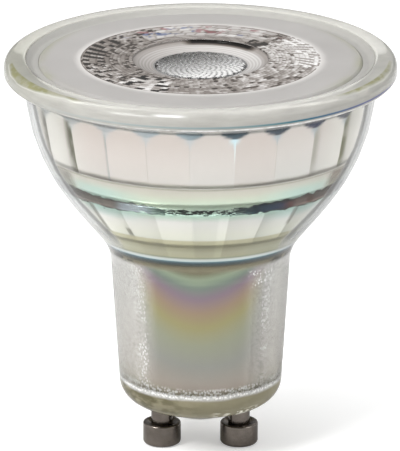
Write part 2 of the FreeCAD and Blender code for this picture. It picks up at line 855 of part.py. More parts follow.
def main():
    os.makedirs("parts", exist_ok=True)
    write("glass_housing", glass_housing())
    write("front_lens", front_lens())
    write("lens_adhesive_ring", lens_adhesive_ring())
    write("heat_spreader", heat_spreader())
    write("thermal_pad", thermal_pad())
    write("led_board", led_board())
    write("cob_substrate", cob_substrate())
    write("phosphor_disc", phosphor_disc())
    write("board_screws", board_screws())
    write("driver_sleeve", driver_sleeve())
    write("driver_board", driver_board())
    write("electrolytic_capacitor", electrolytic_capacitor())
    write("film_capacitor", film_capacitor())
    write("fuse_resistor", fuse_resistor())
    write("transformer_core", transformer_core())
    write("transformer_winding", transformer_winding())
    write("bridge_rectifier", bridge_rectifier())
    write("driver_chip", driver_chip())
    for name, side in (("left", -1), ("right", 1)):
        write(f"contact_pin_{name}", contact_pin(side))
        write(f"pin_retainer_{name}", pin_retainer(side))
        write(f"pin_lead_{name}", pin_lead(side))
    write("led_lead_positive", led_lead(-1))
    write("led_lead_negative", led_lead(1))


main()
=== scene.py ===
"""Looks of a small reflector bulb: pressed glass, its colour coating, a clear front lens and nickel pins."""

import logging
import math
from dataclasses import dataclass, field
from enum import Enum
from functools import cached_property

import bpy
import numpy as np
from numpy.typing import NDArray
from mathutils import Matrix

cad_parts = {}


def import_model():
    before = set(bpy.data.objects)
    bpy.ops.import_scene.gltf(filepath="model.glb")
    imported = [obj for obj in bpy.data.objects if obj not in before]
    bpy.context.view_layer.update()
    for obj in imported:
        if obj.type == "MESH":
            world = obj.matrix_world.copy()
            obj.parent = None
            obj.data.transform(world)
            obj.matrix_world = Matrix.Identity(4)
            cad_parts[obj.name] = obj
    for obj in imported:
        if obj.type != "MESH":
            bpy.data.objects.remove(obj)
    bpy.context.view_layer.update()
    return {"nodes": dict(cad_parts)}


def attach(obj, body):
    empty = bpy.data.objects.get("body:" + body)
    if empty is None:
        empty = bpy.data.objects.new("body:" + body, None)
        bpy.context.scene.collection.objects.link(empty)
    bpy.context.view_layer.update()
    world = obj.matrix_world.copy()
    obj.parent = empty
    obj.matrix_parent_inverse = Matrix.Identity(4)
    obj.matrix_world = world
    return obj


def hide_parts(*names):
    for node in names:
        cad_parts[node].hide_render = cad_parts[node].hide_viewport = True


Array = NDArray[np.float64]
Colour = tuple[float, float, float]
Shade = tuple[int, int, int]
Stop = tuple[float, int, int, int]
Point = tuple[float, float, float]
Corner = tuple[float, float, float]
Grid = tuple[Array, Array]

MM = 0.001
WHITE: Colour = (1.0, 1.0, 1.0)
LOG = logging.getLogger("bulb")


class Wave(Enum):
    """Kinds of procedural pattern, by the node that makes them."""

    NOISE = "ShaderNodeTexNoise"
    CELLS = "ShaderNodeTexVoronoi"


class Mixing(Enum):
    """Ways to join two colours: turn the first towards the second, or multiply them."""

    TURN = "MIX"
    TIMES = "MULTIPLY"


def smooth_step(low: float, high: float, value: Array) -> Array:
    """Blend from 0 below low to 1 above high, as 3t squared less 2t cubed.

    Args:
        low: Value at which the blend starts.
        high: Value at which it ends.
        value: Where it is worked out.

    Returns:
        The blend, between 0 and 1.
    """
    t = np.clip((value - low) / (high - low), 0.0, 1.0)
    return t * t * (3.0 - 2.0 * t)


def degrees_off(azimuth: Array, middle: float) -> Array:
    """Degrees between each azimuth and a middle one, the shorter way round."""
    return np.abs((azimuth - middle + 180.0) % 360.0 - 180.0)


def lean(degrees: float) -> float:
    """Run for each unit of rise of a line that leans this far from the axis."""
    return math.tan(math.radians(degrees))


def outline(corners: list[Corner], arc_step: float, run: float) -> Array:
    """Points along straight runs between corners, with an arc of the given radius at each corner.

    Each arc is tangent to its two runs, so its ends lie radius / tan(half the corner's angle) away.

    Args:
        corners: Radius, height and rounding of each corner, in millimetres.
        arc_step: Degrees of arc between two points.
        run: Longest straight step, in millimetres.

    Returns:
        Radius and height of each point, as rows.
    """
    places = np.array([(r, z) for r, z, _ in corners])
    path: list[Array] = [places[:1]]
    for i in range(1, len(corners) - 1):
        here, rounding = places[i], corners[i][2]
        back = (places[i - 1] - here) / np.linalg.norm(places[i - 1] - here)
        ahead = (places[i + 1] - here) / np.linalg.norm(places[i + 1] - here)
        half = math.acos(float(np.clip(back @ ahead, -1.0, 1.0))) / 2
        if rounding <= 0 or abs(half - math.pi / 2) < 1e-6:
            path.append(here[None, :])
            continue
        inward = (back + ahead) / np.linalg.norm(back + ahead)
        centre = here + inward * rounding / math.sin(half)
        sweep = math.pi - 2 * half
        count = max(2, math.ceil(math.degrees(sweep) / arc_step) + 1)
        turn = np.linspace(-sweep / 2, sweep / 2, count)[:, None]
        side = np.array([-inward[1], inward[0]])
        if side @ back < 0:
            side = -side
        path.append(centre - rounding * (np.cos(turn) * inward + np.sin(turn) * side))
    path.append(places[-1:])
    points = np.concatenate(path)
    steps = [points[:1]]
    for a, b in zip(points, points[1:]):
        count = max(1, math.ceil(float(np.linalg.norm(b - a)) / run))
        share = np.arange(1, count + 1)[:, None] / count
        steps.append(a + (b - a) * share)
    return np.concatenate(steps)


class Surface:
    """A closed mesh on a grid: its columns go round the axis, and its first and last row are points on the axis."""

    def __init__(self, name: str, radius: Array, height: Array, azimuth: Array) -> None:
        """Put the point of row i and column j at radius r and height z: x = r sin(azimuth), y = -r cos(azimuth).

        Args:
            name: Name of the piece.
            radius: Radius of each grid point in millimetres, rows by columns.
            height: Height of each grid point in millimetres, rows by columns.
            azimuth: Azimuth of each column in degrees.
        """
        self.rings, self.columns = len(radius) - 2, radius.shape[1]
        angle = np.radians(azimuth)[None, :]
        grid = np.stack([radius * np.sin(angle), -radius * np.cos(angle), height], axis=2) * MM
        points = np.concatenate([grid[:1, 0], grid[1:-1].reshape(-1, 3), grid[-1:, 0]])
        self.mesh = bpy.data.meshes.new(name)
        self.mesh.vertices.add(len(points))
        self.mesh.vertices.foreach_set("co", points.ravel())
        self._faces()
        self.mesh.shade_smooth()
        self._face_out(points)
        self.object = bpy.data.objects.new(name, self.mesh)
        bpy.context.scene.collection.objects.link(self.object)

    def _index(self, row: Array | int, column: Array) -> Array:
        """Vertex number of a grid point, where rows count from the first full ring."""
        return 1 + np.asarray(row) * self.columns + column % self.columns

    def _faces(self) -> None:
        """Quads between neighbouring rings, and a fan of triangles at each pole."""
        row, column = np.meshgrid(np.arange(self.rings - 1), np.arange(self.columns), indexing="ij")
        quads = np.stack([self._index(row, column), self._index(row, column + 1),
                          self._index(row + 1, column + 1), self._index(row + 1, column)], axis=2).reshape(-1, 4)
        side, last = np.arange(self.columns), self.rings - 1
        poles = (np.zeros_like(side), np.full_like(side, 1 + self.rings * self.columns))
        fans = np.concatenate([
            np.stack([poles[0], self._index(0, side + 1), self._index(0, side)], axis=1),
            np.stack([poles[1], self._index(last, side), self._index(last, side + 1)], axis=1)])
        corners = np.concatenate([quads.ravel(), fans.ravel()])
        starts = np.concatenate([np.arange(len(quads)) * 4, quads.size + np.arange(len(fans)) * 3])
        self.mesh.loops.add(len(corners))
        self.mesh.loops.foreach_set("vertex_index", corners.astype(np.int32))
        self.mesh.polygons.add(len(starts))
        self.mesh.polygons.foreach_set("loop_start", starts.astype(np.int32))
        self.mesh.update(calc_edges=True)
        self.mesh.validate()

    def _face_out(self, points: Array) -> None:
        """Turn the faces outwards if the enclosed volume comes out negative.

        Args:
            points: Places of the vertices in metres.
        """
        self.mesh.calc_loop_triangles()
        corners = np.empty(3 * len(self.mesh.loop_triangles), np.int32)
        self.mesh.loop_triangles.foreach_get("vertices", corners)
        a, b, c = (points[corners.reshape(-1, 3)[:, k]] for k in range(3))
        if float(np.einsum("ij,ij->", a, np.cross(b, c))) < 0:
            self.mesh.flip_normals()

    def crease(self, edge_rows: Array, edge_columns: Array) -> None:
        """Mark edges along chosen rows, and edges between two rows along chosen columns, as sharp.

        Args:
            edge_rows: True for each row whose ring of edges is sharp.
            edge_columns: Rows by columns, true where the edge from a row to the next is sharp.
        """
        ends = np.empty(2 * len(self.mesh.edges), np.int32)
        self.mesh.edges.foreach_get("vertices", ends)
        ends = ends.reshape(-1, 2) - 1
        inside = (ends.min(axis=1) >= 0) & (ends.max(axis=1) < self.rings * self.columns)
        clipped = np.clip(ends, 0, self.rings * self.columns - 1)
        row, column = clipped // self.columns + 1, clipped % self.columns
        same_row = row[:, 0] == row[:, 1]
        along = same_row & edge_rows[row[:, 0]]
        upright = ~same_row & edge_columns[row.min(axis=1), column[:, 0]]
        attribute = self.mesh.attributes.new("sharp_edge", "BOOLEAN", "EDGE")
        attribute.data.foreach_set("value", inside & (along | upright))

    def mark(self, name: str, value: Array) -> None:
        """Store one number for each grid point, for a material to read.

        Args:
            name: Name of the attribute.
            value: The numbers, rows by columns.
        """
        flat = np.concatenate([[value[0, 0]], value[1:-1].ravel(), [value[-1, 0]]])
        attribute = self.mesh.attributes.new(name, "FLOAT", "POINT")
        attribute.data.foreach_set("value", flat.astype(np.float32))


def srgb(red: int, green: int, blue: int) -> Colour:
    """Linear colour of a shade that is named by its display values from 0 to 255.

    A display share s is s / 12.92 below 0.04045, and ((s + 0.055) / 1.055) to the power 2.4 above it.

    Args:
        red: Display value of red.
        green: Display value of green.
        blue: Display value of blue.

    Returns:
        The linear colour.
    """
    share = np.array([red, green, blue]) / 255.0
    linear = np.where(share <= 0.04045, share / 12.92, ((share + 0.055) / 1.055) ** 2.4)
    return (float(linear[0]), float(linear[1]), float(linear[2]))


class Value:
    """The output of a node, with arithmetic that adds the nodes it takes."""

    def __init__(self, nodes: "Nodes", socket: bpy.types.NodeSocket) -> None:
        """Keep the output and the tree it belongs to."""
        self.nodes, self.socket = nodes, socket

    def __add__(self, other: "Number") -> "Value":
        """The sum."""
        return self.nodes.maths("ADD", self, other)

    def __sub__(self, other: "Number") -> "Value":
        """The difference."""
        return self.nodes.maths("SUBTRACT", self, other)

    def __rsub__(self, other: float) -> "Value":
        """A plain number less this one."""
        return self.nodes.maths("SUBTRACT", other, self)

    def __mul__(self, other: "Number") -> "Value":
        """The product."""
        return self.nodes.maths("MULTIPLY", self, other)

    def __truediv__(self, other: "Number") -> "Value":
        """The quotient."""
        return self.nodes.maths("DIVIDE", self, other)

    def __abs__(self) -> "Value":
        """The size without its sign."""
        return self.nodes.maths("ABSOLUTE", self)

    def least(self, other: "Number") -> "Value":
        """The smaller of the two."""
        return self.nodes.maths("MINIMUM", self, other)

    def most(self, *others: "Value") -> "Value":
        """The largest of this number and others.

        Args:
            others: The other numbers.

        Returns:
            The largest.
        """
        total = self
        for other in others:
            total = self.nodes.maths("MAXIMUM", total, other)
        return total

    def blend(self, low: float, high: float) -> "Value":
        """Smooth blend of this number.

        Args:
            low: Where it gives 0.
            high: Where it gives 1; below low, it falls.

        Returns:
            The blend.
        """
        node = self.nodes.add("ShaderNodeMapRange", interpolation_type="SMOOTHSTEP")
        for name, value in (("Value", self), ("From Min", low), ("From Max", high)):
            self.nodes.feed(node.inputs[name], value)
        return Value(self.nodes, node.outputs[0])

    def within(self, low: float, high: float, soft: float) -> "Value":
        """1 between low and high, falling to 0 over the soft width on each side."""
        return self.blend(low - soft, low + soft) * self.blend(high + soft, high - soft)

    def spread(self, low: float, high: float) -> "Value":
        """Number from 0 to 1 spread between two values."""
        return self.nodes.maths("MULTIPLY_ADD", self, high - low, low)

    def between(self, low: "Number", high: "Number") -> "Value":
        """Number low turned towards number high by this share."""
        return self * (high - low) + low

    def ramp(self, stops: list[tuple[float, Colour]]) -> "Value":
        """Colours along this number.

        Args:
            stops: Number and colour of each stop, in rising order.

        Returns:
            The colour.
        """
        low, high = stops[0][0], stops[-1][0]
        node = self.nodes.add("ShaderNodeValToRGB")
        self.nodes.feed(node.inputs[0], (self - low) / (high - low))
        elements = node.color_ramp.elements
        while len(elements) < len(stops):
            elements.new(0.5)
        for element, (place, colour) in zip(elements, stops):
            element.position = (place - low) / (high - low)
            element.color = (*colour, 1.0)
        return Value(self.nodes, node.outputs[0])

    def shades(self, *stops: Stop) -> "Value":
        """Colours along this number, from places with display values."""
        return self.ramp([(place, srgb(*shade)) for place, *shade in stops])

    def curve(self, *points: tuple[float, float]) -> "Value":
        """Numbers along this number, joined by straight lines."""
        return self.ramp([(place, (level,) * 3) for place, level in points])


Number = Value | float
Paint = Value | Colour


class Nodes:
    """A node tree and short ways to add to it."""

    def __init__(self, tree: bpy.types.NodeTree) -> None:
        """Keep the tree."""
        self.tree = tree

    def add(self, kind: str, **settings: str) -> bpy.types.Node:
        """Add a node.

        Args:
            kind: Its type.
            settings: Its own settings by name.

        Returns:
            The node.
        """
        node = self.tree.nodes.new(kind)
        for name, value in settings.items():
            setattr(node, name, value)
        return node

    def feed(self, socket: bpy.types.NodeSocket, value: Paint | float) -> None:
        """Give a socket the output of a node, a colour or a number.

        Args:
            socket: The input.
            value: What it gets. A colour is made opaque where the socket has room for that.
        """
        if isinstance(value, Value):
            self.tree.links.new(value.socket, socket)
        elif isinstance(value, tuple) and len(socket.default_value) > len(value):
            socket.default_value = (*value, 1.0)
        else:
            socket.default_value = value

    def maths(self, operation: str, *terms: Number) -> Value:
        """Arithmetic on one to three numbers.

        Args:
            operation: Name of the operation in the maths node.
            terms: The numbers.

        Returns:
            The result.
        """
        node = self.add("ShaderNodeMath", operation=operation)
        for socket, term in zip(node.inputs, terms):
            self.feed(socket, term)
        return Value(self, node.outputs[0])

    def vectors(self, operation: str, output: str, a: Value, b: Point) -> Value:
        """Arithmetic on two vectors.

        Args:
            operation: Name of the operation in the vector maths node.
            output: Name of the output to take.
            a: First vector.
            b: Second vector.

        Returns:
            The result.
        """
        node = self.add("ShaderNodeVectorMath", operation=operation)
        self.feed(node.inputs[0], a)
        self.feed(node.inputs[1], b)
        return Value(self, node.outputs[output])


class Finish(Nodes):
    """A material, the places and angles that its patterns follow, and short ways to lay colours over each other."""

    def __init__(self, name: str) -> None:
        """Start a material with one shader."""
        self.material = bpy.data.materials.new(name)
        self.material.use_nodes = True
        super().__init__(self.material.node_tree)
        self.shader = self.tree.nodes["Principled BSDF"]

    @cached_property
    def millimetres(self) -> Value:
        """The piece's own coordinates in millimetres."""
        place = Value(self, self.add("ShaderNodeTexCoord").outputs["Object"])
        return self.vectors("MULTIPLY", "Vector", place, (1 / MM,) * 3)

    @cached_property
    def parts(self) -> bpy.types.Node:
        """The node that splits the coordinates."""
        node = self.add("ShaderNodeSeparateXYZ")
        self.feed(node.inputs[0], self.millimetres)
        return node

    @cached_property
    def height(self) -> Value:
        """Height in millimetres."""
        return Value(self, self.parts.outputs["Z"])

    @cached_property
    def radius(self) -> Value:
        """Distance from the bulb's axis in millimetres: the root of x squared plus y squared."""
        x, y = (Value(self, self.parts.outputs[axis]) for axis in "XY")
        return self.maths("SQRT", x * x + y * y)

    @cached_property
    def turn(self) -> Value:
        """Degrees from the front towards the right: the angle whose tangent is x over minus y."""
        x, y = (Value(self, self.parts.outputs[axis]) for axis in "XY")
        return self.maths("ARCTAN2", x, y * -1.0) * (180.0 / math.pi)

    @cached_property
    def from_face(self) -> Value:
        """Degrees from the nearer of the front and the back."""
        return abs(self.turn).least(180.0 - abs(self.turn))

    @cached_property
    def folded(self) -> Value:
        """Azimuth with the back half turned onto the front half."""
        return self.maths("FLOORED_MODULO", self.turn + 90.0, 180.0) - 90.0

    def facing(self) -> Value:
        """0 where the surface faces the view, 1 where it is seen edge on."""
        return Value(self, self.add("ShaderNodeLayerWeight").outputs["Facing"])

    def attribute(self, name: str) -> Value:
        """Number that the mesh stores at its points."""
        return Value(self, self.add("ShaderNodeAttribute", attribute_name=name).outputs["Fac"])

    def pattern(self, scale: float, detail: float = 3.0, upright: float = 1.0, kind: Wave = Wave.NOISE) -> Value:
        """Procedural pattern on the piece's own coordinates.

        Args:
            scale: Features for each millimetre.
            detail: Octaves of the noise.
            upright: Factor on the height, which flattens the features.
            kind: NOISE for clouds, CELLS for grains.

        Returns:
            The pattern, between 0 and 1.
        """
        node = self.add(kind.value)
        self.feed(node.inputs["Vector"], self.vectors("MULTIPLY", "Vector", self.millimetres, (1.0, 1.0, upright)))
        self.feed(node.inputs["Scale"], scale)
        if kind is Wave.NOISE:
            self.feed(node.inputs["Detail"], detail)
        return Value(self, node.outputs[0])

    def mix(self, share: Number, a: Paint, b: Paint,
            how: Mixing = Mixing.TURN) -> Value:
        """Join two colours.

        Args:
            share: How far colour a is turned, from 0 to 1.
            a: First colour.
            b: Second colour.
            how: Whether a is turned towards b or multiplied by it.

        Returns:
            The colour.
        """
        node = self.add("ShaderNodeMix", data_type="RGBA", blend_type=how.value)
        for name, value in (("Factor", share), ("A", a), ("B", b)):
            self.feed(node.inputs[name], value)
        return Value(self, node.outputs["Result"])

    def times(self, a: Value, b: Value) -> Value:
        """Colour a multiplied by colour b."""
        return self.mix(1.0, a, b, Mixing.TIMES)

    def cover(self, colour: Value, *layers: tuple[Value, Paint]) -> Value:
        """Lay colours over a colour in order.

        Args:
            colour: The colour at the bottom.
            layers: Share and colour of each layer.

        Returns:
            The colour.
        """
        for share, over in layers:
            colour = self.mix(share, colour, over)
        return colour

    def bump(self, height: Value, distance: float, strength: Number = 1.0,
             after: Value | None = None) -> Value:
        """Fine relief.

        Args:
            height: Pattern between 0 and 1.
            distance: Height of the relief in millimetres.
            strength: Share of it, a number or a pattern.
            after: Relief that this one is added to.

        Returns:
            The bent normal.
        """
        node = self.add("ShaderNodeBump")
        for name, value in (("Distance", distance * MM), ("Strength", strength), ("Height", height)):
            self.feed(node.inputs[name], value)
        if after is not None:
            self.feed(node.inputs["Normal"], after)
        return Value(self, node.outputs[0])

    def set(self, **values: Paint | float) -> None:
        """Give the shader's sockets values by name, with underscores for spaces."""
        for name, value in values.items():
            self.feed(self.shader.inputs[name.replace("_", " ")], value)

    def dress(self, piece: bpy.types.Object) -> None:
        """Give a piece this finish in every slot."""
        piece.data.materials.clear()
        piece.data.materials.append(self.material)


@dataclass
class GlassForm:
    """Sizes of the pressed glass in millimetres and degrees, and the lines of its walls."""

    glass_at_pin: float = 5.0
    pin_spacing: float = 10.0
    base_flat_diameter: float = 5.0
    base_slope: float = 22.2
    base_corner_round: float = 3.0
    neck_foot_r: float = 10.36
    neck_length: float = 20.2
    neck_taper: float = 3.66
    neck_root_round: float = 6.0
    bowl_slope: float = 39.0
    bowl_cone_height: float = 11.95
    bowl_round: float = 26.0
    upper_wall_slope: float = 6.9
    upper_wall_height: float = 9.75
    rim_r: float = 25.0
    rim_underside_rise: float = 1.1
    rim_band_height: float = 2.2
    rim_corner_round: float = 0.6
    rim_nose_round: float = 0.7
    rim_top_round: float = 1.2
    rim_wall: float = 2.8
    window_half_angle: float = 46.0
    window_depth: float = 0.15
    floor_thickness: float = 3.0
    floor_corner_round: float = 0.7
    wall: float = 1.6
    facets: int = 24
    facet_turn: float = -3.5
    lower_facet_height: float = 5.25
    lower_facet_depth: float = 0.18
    smooth_band_height: float = 3.15
    upper_facet_height: float = 8.6
    upper_facet_depth: float = 0.3
    upper_facet_lean: float = 9.6
    arch_round: float = 13.0
    arch_top_lean: float = 4.8
    arch_closing: float = 0.55
    pilaster_round: float = 0.025
    lens_seat_depth: float = 2.1
    lens_ledge_width: float = 1.3
    mouth_bevel: float = 0.15
    spreader_seat_r: float = 18.1
    spreader_seat_depth: float = 1.55
    spreader_thickness: float = 1.0

    def __post_init__(self) -> None:
        """Work out the heights and radii that follow from the sizes."""
        self.base_z = self.glass_at_pin - (self.pin_spacing - self.base_flat_diameter) / 2 * lean(self.base_slope)
        self.base_corner_z = self.base_z + (self.neck_foot_r - self.base_flat_diameter / 2) * lean(self.base_slope)
        self.neck_top_z = self.base_corner_z + self.neck_length
        self.neck_top_r = self.neck_foot_r + self.neck_length * lean(self.neck_taper)
        self.bowl_corner_z = self.neck_top_z + self.bowl_cone_height
        self.bowl_corner_r = self.neck_top_r + self.bowl_cone_height * lean(self.bowl_slope)
        self.rim_corner_z = self.bowl_corner_z + self.upper_wall_height
        self.rim_corner_r = self.bowl_corner_r + self.upper_wall_height * lean(self.upper_wall_slope)
        self.rim_band_z = self.rim_corner_z + self.rim_underside_rise
        self.rim_top_z = self.rim_band_z + self.rim_band_height
        self.floor_z = self.glass_at_pin + self.floor_thickness
        self.seat_r = self.rim_r - self.rim_wall
        self.seat_z = self.rim_top_z - self.lens_seat_depth
        self.mouth_r = self.seat_r - self.lens_ledge_width
        self.cavity = self._cavity_line()
        self.spreader_seat_top_z = float(np.interp(self.spreader_seat_r, self.cavity[:, 0], self.cavity[:, 1]))
        self.spreader_z = self.spreader_seat_top_z - self.spreader_seat_depth
        self.upper_facet_z = self.spreader_z + self.spreader_thickness + self.smooth_band_height
        self.lower_facet_z = self.spreader_z - self.lower_facet_height
        self.arch_top_z = self.upper_facet_z + self.upper_facet_height
        reach = self.arch_round * lean((self.upper_facet_lean + self.arch_top_lean) / 2)
        self.knee_z = self.arch_top_z - reach * math.cos(math.radians(self.arch_top_lean))
        self.shoulder_z = self.knee_z - reach * math.cos(math.radians(self.upper_facet_lean))
        self.step = 360.0 / self.facets
        flat_r = float(self.upper_facet_r(self.upper_facet_z))
        self.strip_angle = self.step / 2 - math.degrees(math.acos(flat_r / self._corner_r(self.upper_facet_z)))

    def _cavity_line(self) -> Array:
        """Rounded inner wall from the floor to the mouth, each straight line moved in by the wall."""
        walls = ((self.neck_foot_r, self.base_corner_z, self.neck_taper),
                 (self.neck_top_r, self.neck_top_z, self.bowl_slope),
                 (self.bowl_corner_r, self.bowl_corner_z, self.upper_wall_slope))
        neck, bowl, upper = ((r - z * lean(slope) - self.wall / math.cos(math.radians(slope)), lean(slope))
                             for r, z, slope in walls)
        low_z = (neck[0] - bowl[0]) / (bowl[1] - neck[1])
        high_z = (bowl[0] - upper[0]) / (upper[1] - bowl[1])
        return outline([
            (0.0, self.floor_z, 0.0),
            (neck[0] + neck[1] * self.floor_z, self.floor_z, self.floor_corner_round),
            (neck[0] + neck[1] * low_z, low_z, self.neck_root_round + self.wall),
            (upper[0] + upper[1] * high_z, high_z, self.bowl_round - self.wall),
            (upper[0] + upper[1] * self.rim_top_z, self.rim_top_z, 0.0),
        ], arc_step=1.5, run=0.5)

    def columns(self, count: int) -> Array:
        """Azimuths with one column on each corner between facets and the others spread across the flats.

        Args:
            count: Columns in each facet.

        Returns:
            The azimuths in degrees.
        """
        within = np.concatenate([[0.0], np.linspace(self.strip_angle, self.step - self.strip_angle, count - 1)])
        return self.facet_turn + (np.arange(self.facets)[:, None] * self.step + within[None, :]).ravel()

    def facet_offset(self, azimuth: Array) -> Array:
        """Degrees from the middle of the facet that holds each azimuth."""
        return (azimuth - self.facet_turn) % self.step - self.step / 2

    def cavity_r(self, z: Array | float) -> Array:
        """Radius of the smooth inner wall at a height above the floor's corner."""
        wall = self.cavity[self.cavity[:, 1] > self.floor_z + 1e-9]
        return np.interp(z, wall[:, 1], wall[:, 0])

    def upper_facet_r(self, z: Array | float) -> Array:
        """Distance of the upper facets' flats from the axis."""
        low = float(self.cavity_r(self.upper_facet_z)) + self.upper_facet_depth
        return low + (z - self.upper_facet_z) * lean(self.upper_facet_lean)

    def _corner_r(self, z: float) -> float:
        """Radius of the upper facets' corners, with their rounding taken off."""
        return float(self.upper_facet_r(z)) / math.cos(math.pi / self.facets) - self.pilaster_round

    def arch_limit_r(self, z: Array) -> Array:
        """Radius of the turned surface that closes the upper facets in arches and rounds their corners.

        Args:
            z: Heights in millimetres.

        Returns:
            The radii in millimetres.
        """
        knee_r = self._corner_r(self.knee_z)
        line = outline([
            (self._corner_r(self.upper_facet_z), self.upper_facet_z, 0.0),
            (knee_r, self.knee_z, self.arch_round),
            (knee_r - (self.arch_top_z - self.knee_z) * lean(self.arch_top_lean), self.arch_top_z, 0.0),
        ], arc_step=1.0, run=0.2)
        return np.interp(z, line[:, 1], line[:, 0])


@dataclass
class RowBand:
    """Rows of a turned surface between two heights, and which of their edges are sharp."""

    radius: Array
    height: Array
    sharp_start: bool = False
    sharp_columns: Array | None = None

    def crease(self) -> tuple[Array, Array]:
        """The sharp rows, and the sharp edges of the columns."""
        rows = np.zeros(len(self.height), bool)
        rows[0] = self.sharp_start
        plain = np.zeros(self.radius.shape, bool)
        return rows, plain if self.sharp_columns is None else np.tile(self.sharp_columns, (len(self.height), 1))


@dataclass
class Housing:
    """The pressed glass and the colour coating on its inner wall."""

    form: GlassForm = field(default_factory=GlassForm)
    columns_in_facet: int = 14
    coat_columns_in_facet: int = 10
    coat_rows_share: float = 0.7
    coat_gap: float = -0.02
    coat_thickness: float = 0.03
    stipple_height: float = 0.04
    stipple_grain: float = 0.42
    window_edge: float = 1.8
    parting_ridge: float = 0.03
    ridge_height: float = 0.25
    ridge_width: float = 0.07
    seed: int = 7

    def _stipple(self, height: Array, azimuth: Array) -> Array:
        """Pebbled relief on the neck's two sides.

        Random heights on a lattice with one node a grain are joined by smooth blends along the wall's two directions.

        Args:
            height: Height of each grid point in millimetres.
            azimuth: Azimuth of each column in degrees.

        Returns:
            The relief, between 0 and 1.
        """
        random = np.random.default_rng(self.seed)
        across = azimuth[None, :] / 360.0 * 2 * math.pi * self.form.neck_foot_r / self.stipple_grain
        up = height / self.stipple_grain
        total = np.zeros_like(height)
        for octave, share in ((1.0, 0.6), (1.9, 0.4)):
            lattice = random.random((256, 512))
            u, v = (across * octave) % 511, (up * octave) % 255
            i, j = np.broadcast_arrays(np.floor(v).astype(int), np.floor(u).astype(int))
            fv, fu = smooth_step(0.0, 1.0, v - i), smooth_step(0.0, 1.0, u - j)
            low = lattice[i, j] * (1 - fu) + lattice[i, j + 1] * fu
            high = lattice[i + 1, j] * (1 - fu) + lattice[i + 1, j + 1] * fu
            total += share * (low * (1 - fv) + high * fv)
        return total

    def _window(self, azimuth: Array) -> Array:
        """Share of the smooth front and back panels of the neck.

        Args:
            azimuth: Azimuth of each column in degrees.

        Returns:
            1 on the panels, 0 on the stippled sides.
        """
        from_face = np.abs((azimuth + 90.0) % 180.0 - 90.0)
        half = self.form.window_half_angle
        return 1.0 - smooth_step(half - self.window_edge, half + self.window_edge, from_face)

    def _outside_line(self, low_z: float, high_z: float) -> Array:
        """Outline from the middle of the base to the mouth's edge, with dense rows only where there is relief.

        Args:
            low_z: Height at which the neck's straight wall starts.
            high_z: Height at which it ends.

        Returns:
            Radius and height of each point, as rows.
        """
        form = self.form
        line = outline([
            (0.0, form.base_z, 0.0),
            (form.base_flat_diameter / 2, form.base_z, 1.5),
            (form.neck_foot_r, form.base_corner_z, form.base_corner_round),
            (form.neck_top_r, form.neck_top_z, form.neck_root_round),
            (form.bowl_corner_r, form.bowl_corner_z, form.bowl_round),
            (form.rim_corner_r, form.rim_corner_z, form.rim_corner_round),
            (form.rim_r, form.rim_band_z, form.rim_nose_round),
            (form.rim_r, form.rim_top_z, form.rim_top_round),
            (form.seat_r + form.mouth_bevel, form.rim_top_z, form.mouth_bevel / 3),
            (form.seat_r, form.rim_top_z - form.mouth_bevel, form.mouth_bevel / 3),
            (form.seat_r, form.seat_z, 0.08),
            (form.mouth_r, form.seat_z, 0.0),
        ], arc_step=9.0, run=0.28)
        r, z, number = line[:, 0], line[:, 1], np.arange(len(line))
        on_bowl = (z > high_z + 1.0) & (z < form.rim_corner_z - 1.0)
        on_base = (z < low_z - 2.0) & (r > 1.0)
        on_rim = (z > form.rim_top_z - 0.01) & (r < form.rim_r - 1.3)
        spare = (on_bowl & (number % 6 > 0)) | ((on_base | on_rim) & (number % 3 > 0))
        return line[~spare]

    def _outside(self, azimuth: Array) -> tuple[RowBand, Array]:
        """Outer surface from the base to the mouth.

        A ridge on the rim's nose adds its height times exp of minus the square of the distance over its width.

        Args:
            azimuth: Azimuth of each column in degrees.

        Returns:
            Its rows, and its share of stipple.
        """
        form = self.form
        low_z = form.base_corner_z + form.base_corner_round
        high_z = form.neck_top_z - form.neck_root_round / 3
        line = self._outside_line(low_z, high_z)
        ones = np.ones(len(azimuth))
        radius, height = line[:, :1] * ones, line[:, 1:] * ones
        outer = line[:, :1] > form.neck_foot_r * 0.8
        starting, ending = smooth_step(low_z - 0.25, low_z + 0.05, height), smooth_step(high_z, high_z + 0.3, height)
        on_neck = starting * (1 - ending) * outer
        window = self._window(azimuth)[None, :]
        stipple = self._stipple(height, azimuth) * self.stipple_height
        radius = radius - on_neck * window * form.window_depth - on_neck * (1 - window) * stipple
        ridge = np.exp(-((height - form.rim_band_z - self.ridge_height) / self.ridge_width) ** 2) * outer
        near_nose = (line[:, :1] > form.rim_r - 1.0) & (line[:, 1:] < form.rim_band_z + 1.0)
        radius = np.minimum(radius + ridge * near_nose * self.parting_ridge, form.rim_r)
        return RowBand(radius, height), on_neck * (1 - window)

    def _throat_and_facets(self, offset: Array, inset: float, dense: float) -> list[RowBand]:
        """Bands from the mouth's ledge down to the lower end of the lower facets.

        A flat lies at its middle's radius over the cosine of the offset, and the arches' limit cuts it off.

        Args:
            offset: Degrees of each column from its facet's middle.
            inset: How far inside the glass wall the surface lies, in millimetres.
            dense: Factor on the number of rows.

        Returns:
            The bands from the top down.
        """
        form = self.form
        ones, to_flat = np.ones_like(offset), 1 / np.cos(np.radians(offset))

        def heights(high: float, low: float, step: float) -> Array:
            """Column of heights from high to low."""
            return np.linspace(high, low, max(2, math.ceil((high - low) / step * dense) + 1))[:, None]

